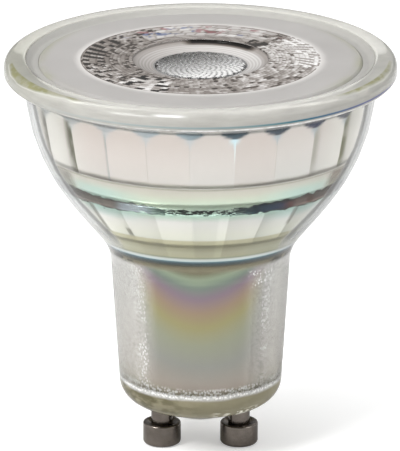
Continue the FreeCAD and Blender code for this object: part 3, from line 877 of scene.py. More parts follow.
        throat = heights(form.seat_z - inset, form.arch_top_z, 0.12)
        closing = 1 - (throat - form.arch_top_z) / (form.seat_z - form.arch_top_z)
        bands = [RowBand((form.mouth_r - form.arch_closing * closing) * ones, throat * ones)]
        arch = heights(form.arch_top_z - inset, form.shoulder_z - 0.6, 0.13)
        pier = heights(form.shoulder_z - 0.75, form.upper_facet_z + inset, 0.8)
        pilaster = np.abs(np.abs(offset[0]) - (form.step / 2 - form.strip_angle)) < 0.01
        for z in (arch, pier):
            radius = np.minimum(form.upper_facet_r(z) * to_flat, form.arch_limit_r(z) * ones)
            bands.append(RowBand(radius, z * ones, z is arch, pilaster))
        smooth = heights(form.upper_facet_z + inset, form.spreader_seat_top_z, 0.4)
        bands.append(RowBand(form.cavity_r(smooth) * ones, smooth * ones, True))
        seat = heights(form.spreader_seat_top_z, form.spreader_z + inset, 0.5)
        bands.append(RowBand(form.spreader_seat_r * ones * np.ones_like(seat), seat * ones))
        lower = heights(form.spreader_z + inset, form.lower_facet_z + inset, 0.5)
        high_flat, low_flat = (float(form.cavity_r(z)) + form.lower_facet_depth
                               for z in (form.spreader_z, form.lower_facet_z))
        part = (lower - form.lower_facet_z) / (form.spreader_z - form.lower_facet_z)
        corner = np.abs(offset[0]) > form.step / 2 - 0.1
        bands.append(RowBand((low_flat + (high_flat - low_flat) * part) * to_flat, lower * ones, True, corner))
        return bands

    def _neck_and_floor(self, ones: Array, inset: float, dense: float) -> RowBand:
        """Band from the lower facets down the neck to the middle of the floor.

        Args:
            ones: A one for each column.
            inset: How far inside the glass wall the surface lies, in millimetres.
            dense: Factor on the number of rows.

        Returns:
            The band.
        """
        form = self.form
        corner_z, corner_r = form.floor_z + form.floor_corner_round, form.neck_foot_r * 0.75
        line = form.cavity[form.cavity[:, 1] < form.lower_facet_z][::-1]
        along = np.concatenate([[0.0], np.cumsum(np.hypot(*np.diff(line, axis=0).T))])
        wall = line[np.searchsorted(along, np.linspace(0.0, along[-1], math.ceil(36 * dense)))]
        corner_rows = line[(line[:, 1] < corner_z) & (line[:, 0] > corner_r)]
        wall = np.concatenate([np.array([[float(form.cavity_r(form.lower_facet_z)), form.lower_facet_z + inset]]),
                               wall[wall[:, 1] > corner_z], corner_rows[::4],
                               wall[(wall[:, 1] <= form.floor_z + 1e-6) & (wall[:, 0] < corner_r)]])
        return RowBand(wall[:, :1] * ones, wall[:, 1:] * ones + inset * (wall[:, 1:] < form.floor_z + 0.3), True)

    def _inner_bands(self, azimuth: Array, inset: float, dense: float) -> list[RowBand]:
        """Rows of the cavity from the throat down to the floor.

        Args:
            azimuth: Azimuth of each column in degrees.
            inset: How far inside the glass wall the surface lies, in millimetres.
            dense: Factor on the number of rows.

        Returns:
            The bands from the top down.
        """
        offset = self.form.facet_offset(azimuth)[None, :]
        bands = [*self._throat_and_facets(offset, inset, dense),
                 self._neck_and_floor(np.ones_like(offset), inset, dense)]
        for band in bands:
            band.radius = np.maximum(band.radius - inset, 0.0)
        bands[-1].radius[-1] = 0.0
        return bands

    @staticmethod
    def _stack(bands: list[RowBand]) -> tuple[Array, Array, Array, Array]:
        """Join bands into one grid.

        Args:
            bands: The bands in order.

        Returns:
            Its radius, height, sharp rows and sharp columns.
        """
        creases = [band.crease() for band in bands]
        return (np.concatenate([band.radius for band in bands]), np.concatenate([band.height for band in bands]),
                np.concatenate([rows for rows, _ in creases]), np.concatenate([columns for _, columns in creases]))

    def glass(self) -> bpy.types.Object:
        """The glass as one closed surface from the base, over the rim and down the inside."""
        azimuth = self.form.columns(self.columns_in_facet)
        outside, share = self._outside(azimuth)
        radius, height, rows, sharp = self._stack([outside, *self._inner_bands(azimuth, 0.0, 1.0)])
        surface = Surface("glass_shell", radius, height, azimuth)
        surface.crease(rows, sharp)
        stipple = np.zeros_like(radius)
        stipple[:len(share)] = share
        surface.mark("stipple", stipple)
        return surface.object

    def coating(self) -> bpy.types.Object:
        """The coating as a thin closed skin just inside the glass, from the floor up its front and down its back."""
        form = self.form
        azimuth = form.columns(self.coat_columns_in_facet)
        front, back = (self._stack(self._inner_bands(azimuth, inset, self.coat_rows_share))
                       for inset in (self.coat_gap, self.coat_gap + self.coat_thickness))
        radius, height = (np.concatenate([front[k][::-1], back[k]]) for k in range(2))
        surface = Surface("colour_coating", radius, height, azimuth)
        surface.crease(np.r_[front[2][::-1], np.zeros(len(back[2]), bool)],
                       np.concatenate([np.roll(front[3][::-1], 1, axis=0), np.zeros_like(back[3])]))
        facet = form.upper_facet_r(height) / np.cos(np.radians(form.facet_offset(azimuth)))
        inside = (height > form.shoulder_z) & (height <= form.arch_top_z)
        surface.mark("spandrel", np.where(inside, smooth_step(0.0, 0.05, facet - form.arch_limit_r(height)), 0.0))
        return surface.object


@dataclass(frozen=True)
class Sector:
    """Cells of painted reflection and shade in the lens window round one azimuth: their place, size in degrees and
    millimetres, and tones.
    """

    azimuth: float
    spread: float
    inner_r: float
    outer_r: float
    cell_angle: float
    cell_length: float
    dark_share: float
    dark: float
    low: float
    high: float
    striped: bool = False


@dataclass
class FrontLens:
    """Clear moulding: flange, frosted ring, dished middle with micro-lenses, ribbed and pillowed collimator."""

    form: GlassForm = field(default_factory=GlassForm)
    columns: int = 504
    flange_clearance: float = 0.15
    flange_thickness: float = 0.8
    face_clearance: float = 0.3
    face_below_rim: float = 0.4
    edge_bevel: float = 0.3
    collimator_r: float = 15.2
    foot_r: float = 6.3
    foot_z: float = 41.3
    rib_count: int = 72
    rib_depth: float = 0.5
    rib_width: float = 3.8
    rib_height: float = 3.7
    pillow_count: int = 36
    pillow_rows: int = 3
    pillow_width: float = 2.8
    pillow_height: float = 3.3
    pillow_bulge: float = 0.3
    dish_r: float = 8.6
    dish_depth: float = 0.9
    dish_edge_step: float = 0.25
    dish_shadow_azimuth: float = 160.0
    micro_disc_r: float = 5.8
    micro_disc_rows: int = 48
    micro_lens_pitch: float = 0.66
    micro_lens_height: float = 0.22
    window_rows: int = 46
    pocket_r: float = 4.7
    pocket_depth: float = 5.0
    pocket_crown: float = 1.2
    seat_gap: float = 0.02
    sharp_angle: float = 25.0
    plain_tone: float = 0.55
    seed: int = 5
    # each sector paints reflections and shade of the cut back into the window as dark and light cells
    sectors: tuple[Sector, ...] = (
        Sector(0.0, 999.0, 8.6, 15.3, 3.0, 0.50, 0.20, 0.14, 0.38, 0.66),
        Sector(180.0, 42.0, 10.4, 15.3, 7.0, 1.10, 0.04, 0.3, 0.62, 0.84),
        Sector(180.0, 48.0, 8.6, 10.4, 12.0, 0.30, 0.10, 0.2, 0.45, 0.66),
        Sector(-103.0, 26.0, 12.2, 15.0, 3.2, 0.95, 0.5, 0.03, 0.42, 0.68, True),
        Sector(-140.0, 14.0, 12.0, 15.1, 2.6, 0.50, 0.30, 0.10, 0.50, 0.75),
        Sector(-63.0, 17.0, 12.0, 15.2, 2.2, 0.42, 0.30, 0.06, 0.48, 0.84),
        Sector(2.0, 30.0, 9.6, 15.2, 2.8, 0.60, 0.07, 0.12, 0.44, 0.76),
        Sector(-32.0, 14.0, 10.0, 15.2, 4.2, 0.75, 0.32, 0.0, 0.58, 0.95),
        Sector(5.0, 28.0, 8.6, 9.6, 2.0, 0.40, 0.30, 0.12, 0.50, 0.78),
        Sector(56.0, 31.0, 8.6, 15.2, 3.2, 0.55, 0.12, 0.24, 0.48, 0.88),
        Sector(102.0, 25.0, 12.0, 15.3, 2.3, 0.60, 0.5, 0.54, 0.84, 1.0, True),
        Sector(102.0, 26.0, 8.8, 12.0, 2.4, 0.40, 0.08, 0.30, 0.60, 0.94),
        Sector(133.0, 8.0, 8.8, 11.0, 3.5, 0.60, 0.50, 0.06, 0.30, 0.60),
    )

    def __post_init__(self) -> None:
        """Work out the heights and radii that follow from the sizes."""
        self.face_z = self.form.rim_top_z - self.face_below_rim
        self.dish_floor_z = self.face_z - self.dish_depth
        self.flange_z = self.form.seat_z + self.seat_gap
        self.azimuth = np.arange(self.columns) * 360.0 / self.columns
        self.ones = np.ones(self.columns)

    def _micro_relief(self, radius: Array) -> Array:
        """Height of the micro-lenses: a paraboloid cap round the nearest centre of a sunflower spiral.

        The centres lie at pitch times 0.5642 times the root of their number, each turned by the golden angle.

        Args:
            radius: Radius of each grid point in millimetres.

        Returns:
            The height in millimetres.
        """
        spacing = self.micro_lens_pitch * 0.5642
        number = np.arange(int(((self.micro_disc_r - 0.15) / spacing) ** 2))
        reach, turn = spacing * np.sqrt(number + 0.5), number * math.pi * (3 - math.sqrt(5))
        centre = np.stack([reach * np.sin(turn), -reach * np.cos(turn)], axis=1)
        angle = np.radians(self.azimuth)[None, :]
        place = np.stack([(radius * np.sin(angle)).ravel(), (-radius * np.cos(angle)).ravel()], axis=1)
        nearest = np.full(len(place), np.inf)
        for block in np.array_split(centre, 8):
            gap = ((place[:, None, :] - block[None, :, :]) ** 2).sum(axis=2)
            nearest = np.minimum(nearest, gap.min(axis=1))
        cap = np.clip(1.0 - nearest / (0.62 * self.micro_lens_pitch) ** 2, 0.0, 1.0)
        edge = 1 - smooth_step(self.micro_disc_r - 0.2, self.micro_disc_r, radius)
        return self.micro_lens_height * cap.reshape(radius.shape) * edge

    def _disc_shade(self, radius: Array, relief: Array) -> Grid:
        """Painted shade and highlight on the micro-lenses: dark valleys away from the view's side, pale caps towards
        it.

        Args:
            radius: Radius of each grid point in millimetres.
            relief: Height of the micro-lenses there.

        Returns:
            How much of the view through the lens is covered, and the tone of that, both between 0 and 1.
        """
        angle = np.radians(self.azimuth)[None, :]
        towards = -radius / self.micro_disc_r * (0.45 * np.sin(angle) + 0.89 * np.cos(angle))
        valley = 1.0 - relief / self.micro_lens_height
        # painted shade in the valleys towards the back left
        dark = smooth_step(0.35, 0.8, valley) * np.clip(0.40 + 0.75 * towards, 0.0, 1.0)
        # painted highlight on the caps towards the front right
        pale = smooth_step(0.9, 0.4, valley) * np.clip(0.35 - 0.6 * towards, 0.0, 0.8)
        return np.maximum(dark, 0.8 * pale), pale / np.maximum(dark + pale, 1e-6)

    def _face_shade(self, reach: Array) -> Grid:
        """Painted shade of the dish's slope, lighter to the right and the back, its wall with a painted shadow at the
        back, and the window of cells of painted reflection.

        Args:
            reach: Radius of each grid point in millimetres.

        Returns:
            The cover and its tone, both between 0 and 1.
        """
        angle = np.radians(self.azimuth)[None, :]
        slope = (reach > self.micro_disc_r + 0.1) & (reach < self.dish_r - 0.42)
        cover = slope * 0.8
        # painted shade: the slope lighter to the right and the back
        tone = np.where(slope, 0.71 + 0.08 * np.sin(angle) - 0.05 * np.cos(angle), self.plain_tone)
        wall = smooth_step(self.dish_r - 0.42, self.dish_r - 0.3, reach) * (reach < self.dish_r + 0.01)
        # painted shadow on the dish's wall at the back
        shadow = wall * smooth_step(38.0, 26.0, degrees_off(self.azimuth[None, :], self.dish_shadow_azimuth))
        cover = np.maximum(cover, 0.9 * wall)
        tone = np.where(wall > 0, self.plain_tone * (1.0 - shadow), tone)
        window = (reach > self.dish_r + 0.05) & (reach < self.collimator_r + 0.1)
        return np.where(window, 0.9, cover), np.where(window, self._cells(reach), tone)

    def _cells(self, reach: Array) -> Array:
        """Tone of the window's cells, painted reflection and shade of the lens's cut back: each sector of the window
        lays its own cells over the earlier ones.

        Args:
            reach: Radius of each grid point in millimetres.

        Returns:
            The tone, between 0 and 1.
        """
        random = np.random.default_rng(self.seed)
        azimuth, tone = self.azimuth[None, :], np.ones_like(reach)
        for sector in self.sectors:
            up = (reach - sector.inner_r) / sector.cell_length
            row = np.floor(up).astype(int)
            shift = 0.5 * up if sector.striped else 0.5 * (row % 2) + 0.35 * up
            along = (azimuth + 180.0) / sector.cell_angle + shift
            column = np.floor(along).astype(int)
            chance = random.random((64, 256))[row % 64, column % 256]
            edge = (along % 1.0 < 0.22) | (up % 1.0 < 0.25)
            level = sector.low + (sector.high - sector.low) * (chance * 7.3 % 1.0) - edge * 0.16
            dark = (column % 2 == 0) & (chance > 0.3) if sector.striped else chance < sector.dark_share
            off = degrees_off(azimuth, sector.azimuth) / sector.spread + 0.3 * (chance - 0.5)
            inside = (off < 1.0) & (reach > sector.inner_r) & (reach < sector.outer_r)
            tone = np.where(inside, np.where(dark, sector.dark, level), tone)
        return tone

    def _turned(self, line: Array) -> Grid:
        """Radius and height of an outline turned round the axis."""
        return line[:, :1] * self.ones, line[:, 1:] * self.ones

    def _face(self) -> Grid:
        """From the edge of the micro-lenses over the dish, the window and the frosted ring to below the flange."""
        form, face_z, step_z = self.form, self.face_z, self.face_z - self.dish_edge_step
        face_r, flange_r = form.mouth_r - self.face_clearance, form.seat_r - self.flange_clearance
        flange_top_z = form.seat_z + self.flange_thickness
        return self._turned(outline([
            (self.micro_disc_r + 0.03, self.dish_floor_z, 0.0),
            (self.micro_disc_r + 0.3, self.dish_floor_z + 0.02, 0.1),
            (self.micro_disc_r + 1.1, self.dish_floor_z + 0.16, 0.6),
            (self.dish_r - 0.3, step_z - 0.1, 0.4),
            (self.dish_r, step_z, 0.05),
            (self.dish_r, face_z, 0.06),
            *[(float(r), face_z, 0.0) for r in np.linspace(self.dish_r + 0.15, self.collimator_r, self.window_rows)],
            (self.collimator_r + 0.05, face_z, 0.0),
            (face_r - self.edge_bevel, face_z, 0.12),
            (face_r, face_z - self.edge_bevel, 0.1),
            (face_r, flange_top_z, 0.05),
            (flange_r, flange_top_z, 0.1),
            (flange_r, self.flange_z, 0.1),
            (self.collimator_r, self.flange_z, 0.0),
        ], arc_step=18.0, run=1.2))

    def _ribs(self) -> Grid:
        """A cone whose radius is cut back in teeth: the depth times 1 less the distance from each tooth's middle."""
        tooth = 1.0 - np.abs(2.0 * ((self.azimuth * self.rib_count / 360.0) % 1.0) - 1.0)
        share = np.linspace(0.0, 1.0, 5)[:, None]
        radius = self.collimator_r - 0.02 - self.rib_width * share
        cut = self.rib_depth * radius / self.collimator_r * tooth[None, :] * smooth_step(0.0, 0.06, share)
        return radius * self.ones - cut, (self.flange_z - 0.02 - self.rib_height * share) * self.ones

    def _pillows(self) -> Grid:
        """A cone with bulges: the bulge times the roots of the sines across and down each pillow."""
        share = np.linspace(0.0, 1.0, 4 * self.pillow_rows + 1)[:, None]
        radius = self.collimator_r - self.rib_width - self.rib_depth - self.pillow_width * share
        height = self.form.seat_z - self.rib_height - self.pillow_height * share ** 1.2
        across = np.abs(np.sin(math.pi * self.azimuth * self.pillow_count / 360.0))[None, :]
        down = np.abs(np.sin(math.pi * share * self.pillow_rows))
        bulge = self.pillow_bulge * (across ** 0.5) * (down ** 0.5) * 0.7
        return radius + bulge, height * self.ones - bulge

    def _foot(self, above: Grid) -> Grid:
        """The foot and the light pocket inside it.

        Args:
            above: Radius and height of the pillows, which end where the foot starts.

        Returns:
            Radius and height of its grid.
        """
        pocket_top_z = self.foot_z + self.pocket_depth
        return self._turned(outline([
            (float(above[0][-1, 0]) - 0.05, float(above[1][-1, 0]) - 0.02, 0.0),
            (self.foot_r, self.foot_z, 0.15),
            (self.pocket_r + 0.02, self.foot_z, 0.1),
            (self.pocket_r - 0.26, pocket_top_z, 0.3),
            (0.0, pocket_top_z - self.pocket_crown, 0.0),
        ], arc_step=18.0, run=1.0))

    def build(self) -> bpy.types.Object:
        """The lens as one closed surface, from the middle of the dish over the face and back to the light pocket."""
        disc_r = np.linspace(0.0, self.micro_disc_r, self.micro_disc_rows)[:, None] * self.ones
        relief = self._micro_relief(disc_r)
        face, pillows = self._face(), self._pillows()
        parts = [(disc_r, self.dish_floor_z + relief), face, self._ribs(), pillows, self._foot(pillows)]
        radius, height = (np.concatenate([part[k] for part in parts]) for k in range(2))
        surface = Surface("clear_lens", radius, height, self.azimuth)
        surface.mesh.set_sharp_from_angle(angle=math.radians(self.sharp_angle))
        # cover and tone carry the painted light, shade and reflections of the disc, the dish and the window
        shades = [self._disc_shade(disc_r, relief), self._face_shade(face[0])]
        for name, shade, plain in (("cover", 0, 0.0), ("tone", 1, self.plain_tone)):
            whole = np.full_like(radius, plain)
            seen = np.concatenate([part[shade] for part in shades])
            whole[:len(seen)] = seen
            surface.mark(name, whole)
        return surface.object


@dataclass(frozen=True)
class Layer:
    """A look laid over the ones before it: its share at each place, its colour, and how much it scatters."""

    share: Value
    colour: Paint
    haze: Number


class PressedGlass(Finish):
    """Clear glass with a green cast in its depth, pebbled sides, a hazy rim with olive crescents and a hazy base, with
    painted edge shade, highlights and glints.
    """

    depth_colour: Colour = (0.50, 0.52, 0.20)
    depth_density: float = 18.0
    sheen: float = 0.15
    shine: Colour = (0.5, 0.5, 0.5)
    rim_haze: float = 0.5
    rim_colour: Colour = (0.66, 0.65, 0.61)
    rim_shade: Colour = (0.54, 0.535, 0.475)
    base_haze: float = 0.8
    base_colour: Colour = (0.30, 0.275, 0.185)
    base_dark: Colour = (0.15, 0.135, 0.08)
    base_top_z: float = 10.0
    # painted shade and painted light for the lines where the bowl is seen edge on
    edge_painted_shade: Colour = (0.20, 0.205, 0.205)
    edge_painted_light: Colour = (0.55, 0.565, 0.575)
    olive: Colour = (0.30, 0.295, 0.155)
    olive_edge: Colour = (0.92, 0.92, 0.84)
    line_rise: float = 0.42
    line_left: Colour = (0.03, 0.16, 0.20)
    line_right: Colour = (0.07, 0.08, 0.24)
    highlight_z: tuple[float, float] = (51.88, 52.1)
    foot_painted_sparkle: Colour = (1.0, 1.0, 0.98)
    glint: Colour = (1.0, 0.98, 0.86)
    ripple: float = 0.012
    pebble: float = 0.05

    def __init__(self, form: GlassForm) -> None:
        """Refraction with soft ripples, layers of haze, and light lost along the way inside.

        Args:
            form: Sizes of the glass, for the places of the haze.
        """
        super().__init__("pressed_glass")
        self.form = form
        streak = self.pattern(0.35, 2.0).spread(-0.2, 0.2)
        colour, haze = WHITE, 0.0
        for layer in (*self._bowl_edges(), *self._rim(streak), *self._base(streak)):
            colour = self.mix(layer.share, colour, layer.colour)
            haze = layer.share.between(haze, layer.haze)
        ripple, stipple = self.pattern(0.35, 2.0), self.attribute("stipple")
        normal = self.bump(self.pattern(2.6, kind=Wave.CELLS), self.pebble, stipple,
                           self.bump(ripple, self.ripple))
        self.set(Base_Color=colour, IOR=1.5, Specular_IOR_Level=self.sheen, Specular_Tint=self.shine, Normal=normal,
                 Transmission_Weight=1.0 - haze, Roughness=stipple.spread(0.015, 0.22) + ripple * 0.01)
        absorb = self.add("ShaderNodeVolumeAbsorption")
        self.feed(absorb.inputs["Color"], self.depth_colour)
        self.feed(absorb.inputs["Density"], self.depth_density)
        self.tree.links.new(absorb.outputs[0], self.tree.nodes["Material Output"].inputs["Volume"])

    def _bowl_edges(self) -> list[Layer]:
        """Painted shade and painted reflection: dark and light lines where the bowl's wall is seen edge on.

        Returns:
            The layers in order.
        """
        on_bowl = (self.height.blend(self.form.neck_top_z + 0.5, self.form.neck_top_z + 5.0)
                   * self.height.blend(self.form.rim_corner_z + 0.5, self.form.rim_corner_z - 0.5))
        facing = self.facing()
        return [Layer(on_bowl * facing.blend(low, low + 0.04), colour, haze)
                for low, colour, haze in ((0.67, self.edge_painted_shade, 0.5), (0.73, self.edge_painted_light, 0.5),
                                          (0.87, self.edge_painted_shade, 0.65))]

    def _rim(self, streak: Value) -> list[Layer]:
        """The hazy rim, its painted highlight, the olive crescents on its nose, the coloured line below them and a
        painted line of glints under that.

        Args:
            streak: Uneven shift of the layers' edges, in millimetres.

        Returns:
            The layers in order.
        """
        height, turn = self.height, self.turn
        haze = (self.from_face.blend(70.0, 30.0).spread(0.9, 1.0)
                * self.pattern(0.25, 3.0, 5.0).spread(self.rim_haze * 0.8, self.rim_haze * 1.3))
        tone = self.mix(turn.within(-120.0, -60.0, 25.0), self.rim_colour, self.rim_shade)
        depth = turn.curve((-90.0, 0.0), (-84.0, 0.0), (-76.0, 0.4), (-67.0, 0.66), (-58.0, 0.5), (-50.0, 0.22),
                           (-40.0, 0.1), (-33.0, 0.0), (40.0, 0.0), (52.0, 0.16), (68.0, 0.28), (80.0, 0.16),
                           (88.0, 0.0), (90.0, 0.0))
        off = self.form.rim_top_z - 0.02 - height + streak - depth
        on_nose = (self.radius.blend(self.form.rim_r - 1.15, self.form.rim_r - 0.95) * abs(turn).blend(91.0, 86.0)
                   * depth.blend(0.02, 0.12))
        cloudy = self.pattern(0.6).blend(0.36, 0.60).spread(0.6, 1.0)
        outer = self.radius.blend(self.form.rim_r - 1.0, self.form.rim_r - 0.7)
        line_z = self.form.rim_band_z + self.line_rise
        line = self.mix(turn.blend(20.0, 60.0), self.line_left, self.line_right)
        line_share = turn.curve((-90.0, 0.0), (-60.0, 0.0), (-30.0, 0.35), (10.0, 0.7), (30.0, 1.0), (68.0, 0.8),
                                (80.0, 0.0), (90.0, 0.0))
        painted_glint_grains = self.pattern(1.2, 2.0).blend(0.40, 0.60).spread(0.45, 1.0)
        painted_glint_share = turn.curve((-90.0, 0.0), (-45.0, 0.1), (-20.0, 0.5), (0.0, 1.0), (40.0, 0.9), (80.0, 0.3),
                                 (90.0, 0.3))
        return [
            Layer(height.blend(self.form.rim_corner_z - 0.1, self.form.rim_band_z + 0.2), tone, haze),
            # painted highlight: a white streak high on the rim, left of the front
            Layer(turn.within(-13.0, -5.0, 2.0) * height.within(*self.highlight_z, 0.08), WHITE, 0.75),
            Layer(on_nose * off.within(0.02, 0.14, 0.08), self.olive_edge, 0.4),
            Layer(on_nose * off.blend(0.12, -0.18) * cloudy, self.olive, 0.62),
            Layer(outer * line_share * height.within(line_z - 0.12, line_z + 0.14, 0.08), line, 0.98),
            # painted glints: a broken white line under the coloured line
            Layer(outer * painted_glint_share * painted_glint_grains * height.within(line_z - 0.5, line_z - 0.3, 0.08), WHITE, 0.8),
        ]

    def _base(self, streak: Value) -> list[Layer]:
        """The mottled base, darker towards the left, a painted fringe of sparkles where it meets the neck, and painted
        warm glints at its right.

        Args:
            streak: Uneven shift of the base's edge, in millimetres.

        Returns:
            The layers in order.
        """
        height, turn = self.height, self.turn
        mottle = self.pattern(0.45, 3.0, 2.0).blend(0.62, 0.40)
        # darker and mottled towards the left, and above 5.4 millimetres
        darker_left = mottle * turn.blend(10.0, -40.0).spread(0.15, 1.0) * height.blend(5.4, 7.6)
        grains = self.pattern(3.6, kind=Wave.CELLS).blend(0.70, 0.34)
        fringe = grains.spread(0.55, 1.0) * self.from_face.blend(84.0, 60.0)
        glints = self.pattern(0.8, 3.0, 2.5).blend(0.50, 0.60)
        edge = height + streak
        return [
            Layer(edge.blend(self.base_top_z, self.base_top_z - 0.7),
                  self.mix(darker_left, self.base_colour, self.base_dark), self.base_haze),
            # painted sparkles along the base's top edge where it meets the neck
            Layer(edge.within(self.base_top_z - 0.35, self.base_top_z + 0.1, 0.25) * fringe, self.foot_painted_sparkle, 0.75),
            # painted glints: warm bright flecks on the base's right
            Layer(glints * turn.within(12.0, 46.0, 6.0) * height.within(5.4, 7.6, 0.4), self.glint, 0.9),
        ]


class ColourCoating(Finish):
    """Interference coating: pearly colours that change with height, painted highlights, sparkles, reflections and
    shade, and a painted dark band of shade at the plate's edge.
    """

    neck: tuple[Stop, ...] = (
        (4.0, 139, 134, 106), (9.8, 180, 174, 154), (11.0, 165, 155, 146), (14.0, 148, 149, 143),
        (17.0, 152, 155, 135), (19.5, 156, 150, 108), (21.5, 156, 136, 115), (23.5, 139, 121, 135),
        (25.0, 121, 134, 125), (26.2, 150, 164, 141), (27.4, 120, 114, 90), (29.0, 104, 102, 82),
        (30.0, 150, 148, 128))
    # flank tones: partly the stipple's own whitish tone, partly painted reflection of the bright sides
    flank: tuple[Stop, ...] = (
        (4.0, 170, 164, 142), (9.0, 190, 185, 170), (13.0, 208, 204, 199), (27.0, 218, 217, 215),
        (28.0, 218, 217, 215))
    collar: tuple[Stop, ...] = (
        (27.0, 160, 156, 136), (27.8, 134, 127, 106), (28.5, 104, 98, 78), (29.1, 64, 64, 58), (29.2, 64, 64, 58))
    # painted highlight and painted reflection: a bluish-white line on the bowl's concave root above a darker bluish
    # line
    root: tuple[Stop, ...] = (
        (28.2, 96, 90, 74), (28.9, 66, 84, 92), (29.22, 102, 138, 150), (29.36, 232, 250, 255),
        (29.68, 250, 255, 255), (29.9, 186, 194, 174), (30.1, 186, 194, 174))
    bowl: tuple[Stop, ...] = (
        (30.0, 217, 218, 187), (31.0, 226, 224, 196), (32.0, 204, 201, 170), (33.0, 206, 204, 174),
        (33.25, 244, 247, 236), (34.0, 250, 252, 242), (36.2, 255, 255, 255), (37.2, 216, 249, 234),
        (38.8, 212, 231, 212), (40.2, 212, 212, 199), (41.4, 200, 196, 190), (42.2, 214, 213, 210),
        (45.0, 218, 214, 211), (48.0, 215, 209, 205), (50.5, 200, 200, 196))
    # painted shade and painted reflection along the pilasters, by azimuth: darker olive towards the sides, a painted
    # highlight near 11.5 degrees
    bars: tuple[Stop, ...] = (
        (-90.0, 150, 150, 146), (-62.0, 140, 136, 128), (-54.0, 104, 103, 84), (-44.0, 130, 130, 116),
        (-34.0, 176, 178, 178), (-20.0, 196, 192, 188), (6.0, 214, 212, 208), (11.5, 222, 221, 219),
        (18.0, 210, 206, 202), (44.0, 184, 182, 174), (54.0, 132, 133, 104), (64.0, 140, 141, 118),
        (90.0, 176, 176, 172))
    # painted shade at the plate's edge, by azimuth
    gap: tuple[Stop, ...] = (
        (-90.0, 128, 128, 122), (-60.0, 112, 108, 100), (-47.0, 98, 90, 82), (-36.0, 88, 80, 72),
        (-32.0, 136, 144, 150), (-23.0, 140, 150, 154), (-17.0, 72, 92, 84), (-8.0, 12, 34, 24), (8.0, 10, 30, 26),
        (18.0, 14, 40, 48), (33.0, 14, 24, 44), (37.0, 58, 28, 20), (46.0, 86, 56, 38), (60.0, 100, 78, 56),
        (70.0, 84, 74, 60), (90.0, 128, 128, 122))
    # painted reflections in the spandrels, by azimuth
    teal: tuple[Stop, ...] = (
        (-90.0, 170, 172, 168), (-30.0, 176, 182, 186), (-6.0, 150, 170, 180), (6.0, 10, 66, 84),
        (30.0, 4, 44, 68), (50.0, 16, 28, 78), (64.0, 120, 122, 120), (90.0, 170, 172, 168))
    # painted highlight near 9 to 14 degrees below the knee
    arch_light: tuple[Stop, ...] = (
        (-90.0, 190, 190, 186), (6.0, 200, 206, 210), (9.0, 216, 244, 255), (14.0, 216, 244, 255),
        (18.0, 176, 190, 198), (90.0, 190, 190, 186))
    tint_low: Colour = (0.97, 0.925, 0.91)
    tint_high: Colour = (1.03, 1.03, 1.03)
    # painted light along the ledge
    ledge: Colour = (1.0, 1.0, 0.97)
    plate_shade_rise: tuple[float, float] = (0.75, 0.60)

    def __init__(self, form: GlassForm) -> None:
        """Pearly half-gloss skin.

        Args:
            form: Sizes of the glass, for the heights of its steps.
        """
        super().__init__("colour_coating")
        self.form = form
        height = self.height
        ring, dark = self._plate_edge_shade()
        root_highlight_share = height.within(28.3, 30.05, 0.2) * self.from_face.blend(80.0, 60.0)
        colour = self.cover(
            self._neck_colour(),
            (height.blend(29.6, 30.2), self._bowl_colour()),
            # painted sparkles on the neck
            (self._painted_sparkles(), WHITE),
            # painted highlight on the bowl's root
            (root_highlight_share, height.shades(*self.root)),
            # painted shade at the plate's edge
            (ring, dark),
            (self.attribute("spandrel") * 0.9, self._spandrel_reflection()))
        self.set(Base_Color=colour, Metallic=ring.spread(0.5, 1.0), Specular_IOR_Level=0.05,
                 Roughness=self.pattern(0.5, 2.0).spread(0.2, 0.26))

    def _collar(self, blots: Value) -> Value:
        """Dark streaky band at the top of the neck.

        Args:
            blots: Share of the blots that darken it at the panel's ends.

        Returns:
            The colour.
        """
        streaks = self.pattern(0.9, 4.0, 3.0).spread(0.66, 1.34)
        ends = self.from_face.blend(46.0, 58.0) * blots
        return self.mix(ends, self.times(self.height.shades(*self.collar), streaks), srgb(38, 36, 32))

    def _neck_colour(self) -> Value:
        """Bands that rise to both sides of the panel, pale gritty flanks with painted reflection and painted shade, and
        a dark collar at the top.

        Returns:
            The colour.
        """
        height, from_face = self.height, self.from_face
        smile = self.maths("POWER", from_face / 40.0, 2.0) * height.blend(8.0, 23.0) * -3.3
        cloud = self.pattern(0.09, 2.0).spread(-0.5, 1.1)
        grit = self.pattern(3.0, kind=Wave.CELLS).spread(1.18, 0.78)
        # painted shade: the flanks darker from 36 to 56 degrees right of the front, and its turned copy at the back
        right = self.folded.curve((-90.0, 1.0), (36.0, 0.92), (46.0, 0.68), (56.0, 0.86), (66.0, 1.1), (90.0, 1.0))
        # pale flanks: the stipple's whitish tone with painted reflection of the bright sides
        flank = self.times(self.times(height.shades(*self.flank), grit), right)
        blots = self.pattern(1.1).blend(0.42, 0.56)
        corner = from_face.within(50.0, 74.0, 5.0) * height.within(27.6, 28.8, 0.3) * blots * 0.8
        return self.cover((height + smile + cloud).shades(*self.neck), (from_face.blend(30.0, 54.0), flank),
                          (height.blend(26.9, 27.9), self._collar(blots)), (corner, srgb(62, 58, 50)))

    def _painted_sparkles(self) -> Value:
        """Painted sparkles: bright grains beside the panel and along the foot of the neck.

        Returns:
            Their share.
        """
        height, folded = self.height, self.folded
        cells = self.pattern(3.3, upright=0.7, kind=Wave.CELLS)
        patches = self.pattern(0.35).blend(0.34, 0.52)
        left = folded.within(-54.0, -43.0, 3.0) * height.blend(24.0, 12.0).spread(0.6, 1.0)
        right = folded.within(50.0, 58.0, 2.0) * 0.7
        corner = folded.within(36.0, 60.0, 3.0) * height.within(24.2, 26.9, 0.4)
        beside = left.most(right, corner) * patches * height.blend(27.4, 26.6)
        foot = height.within(9.3, 10.6, 0.3) * cells.blend(0.62, 0.34)
        return (cells.blend(0.50, 0.26) * beside).most(foot)

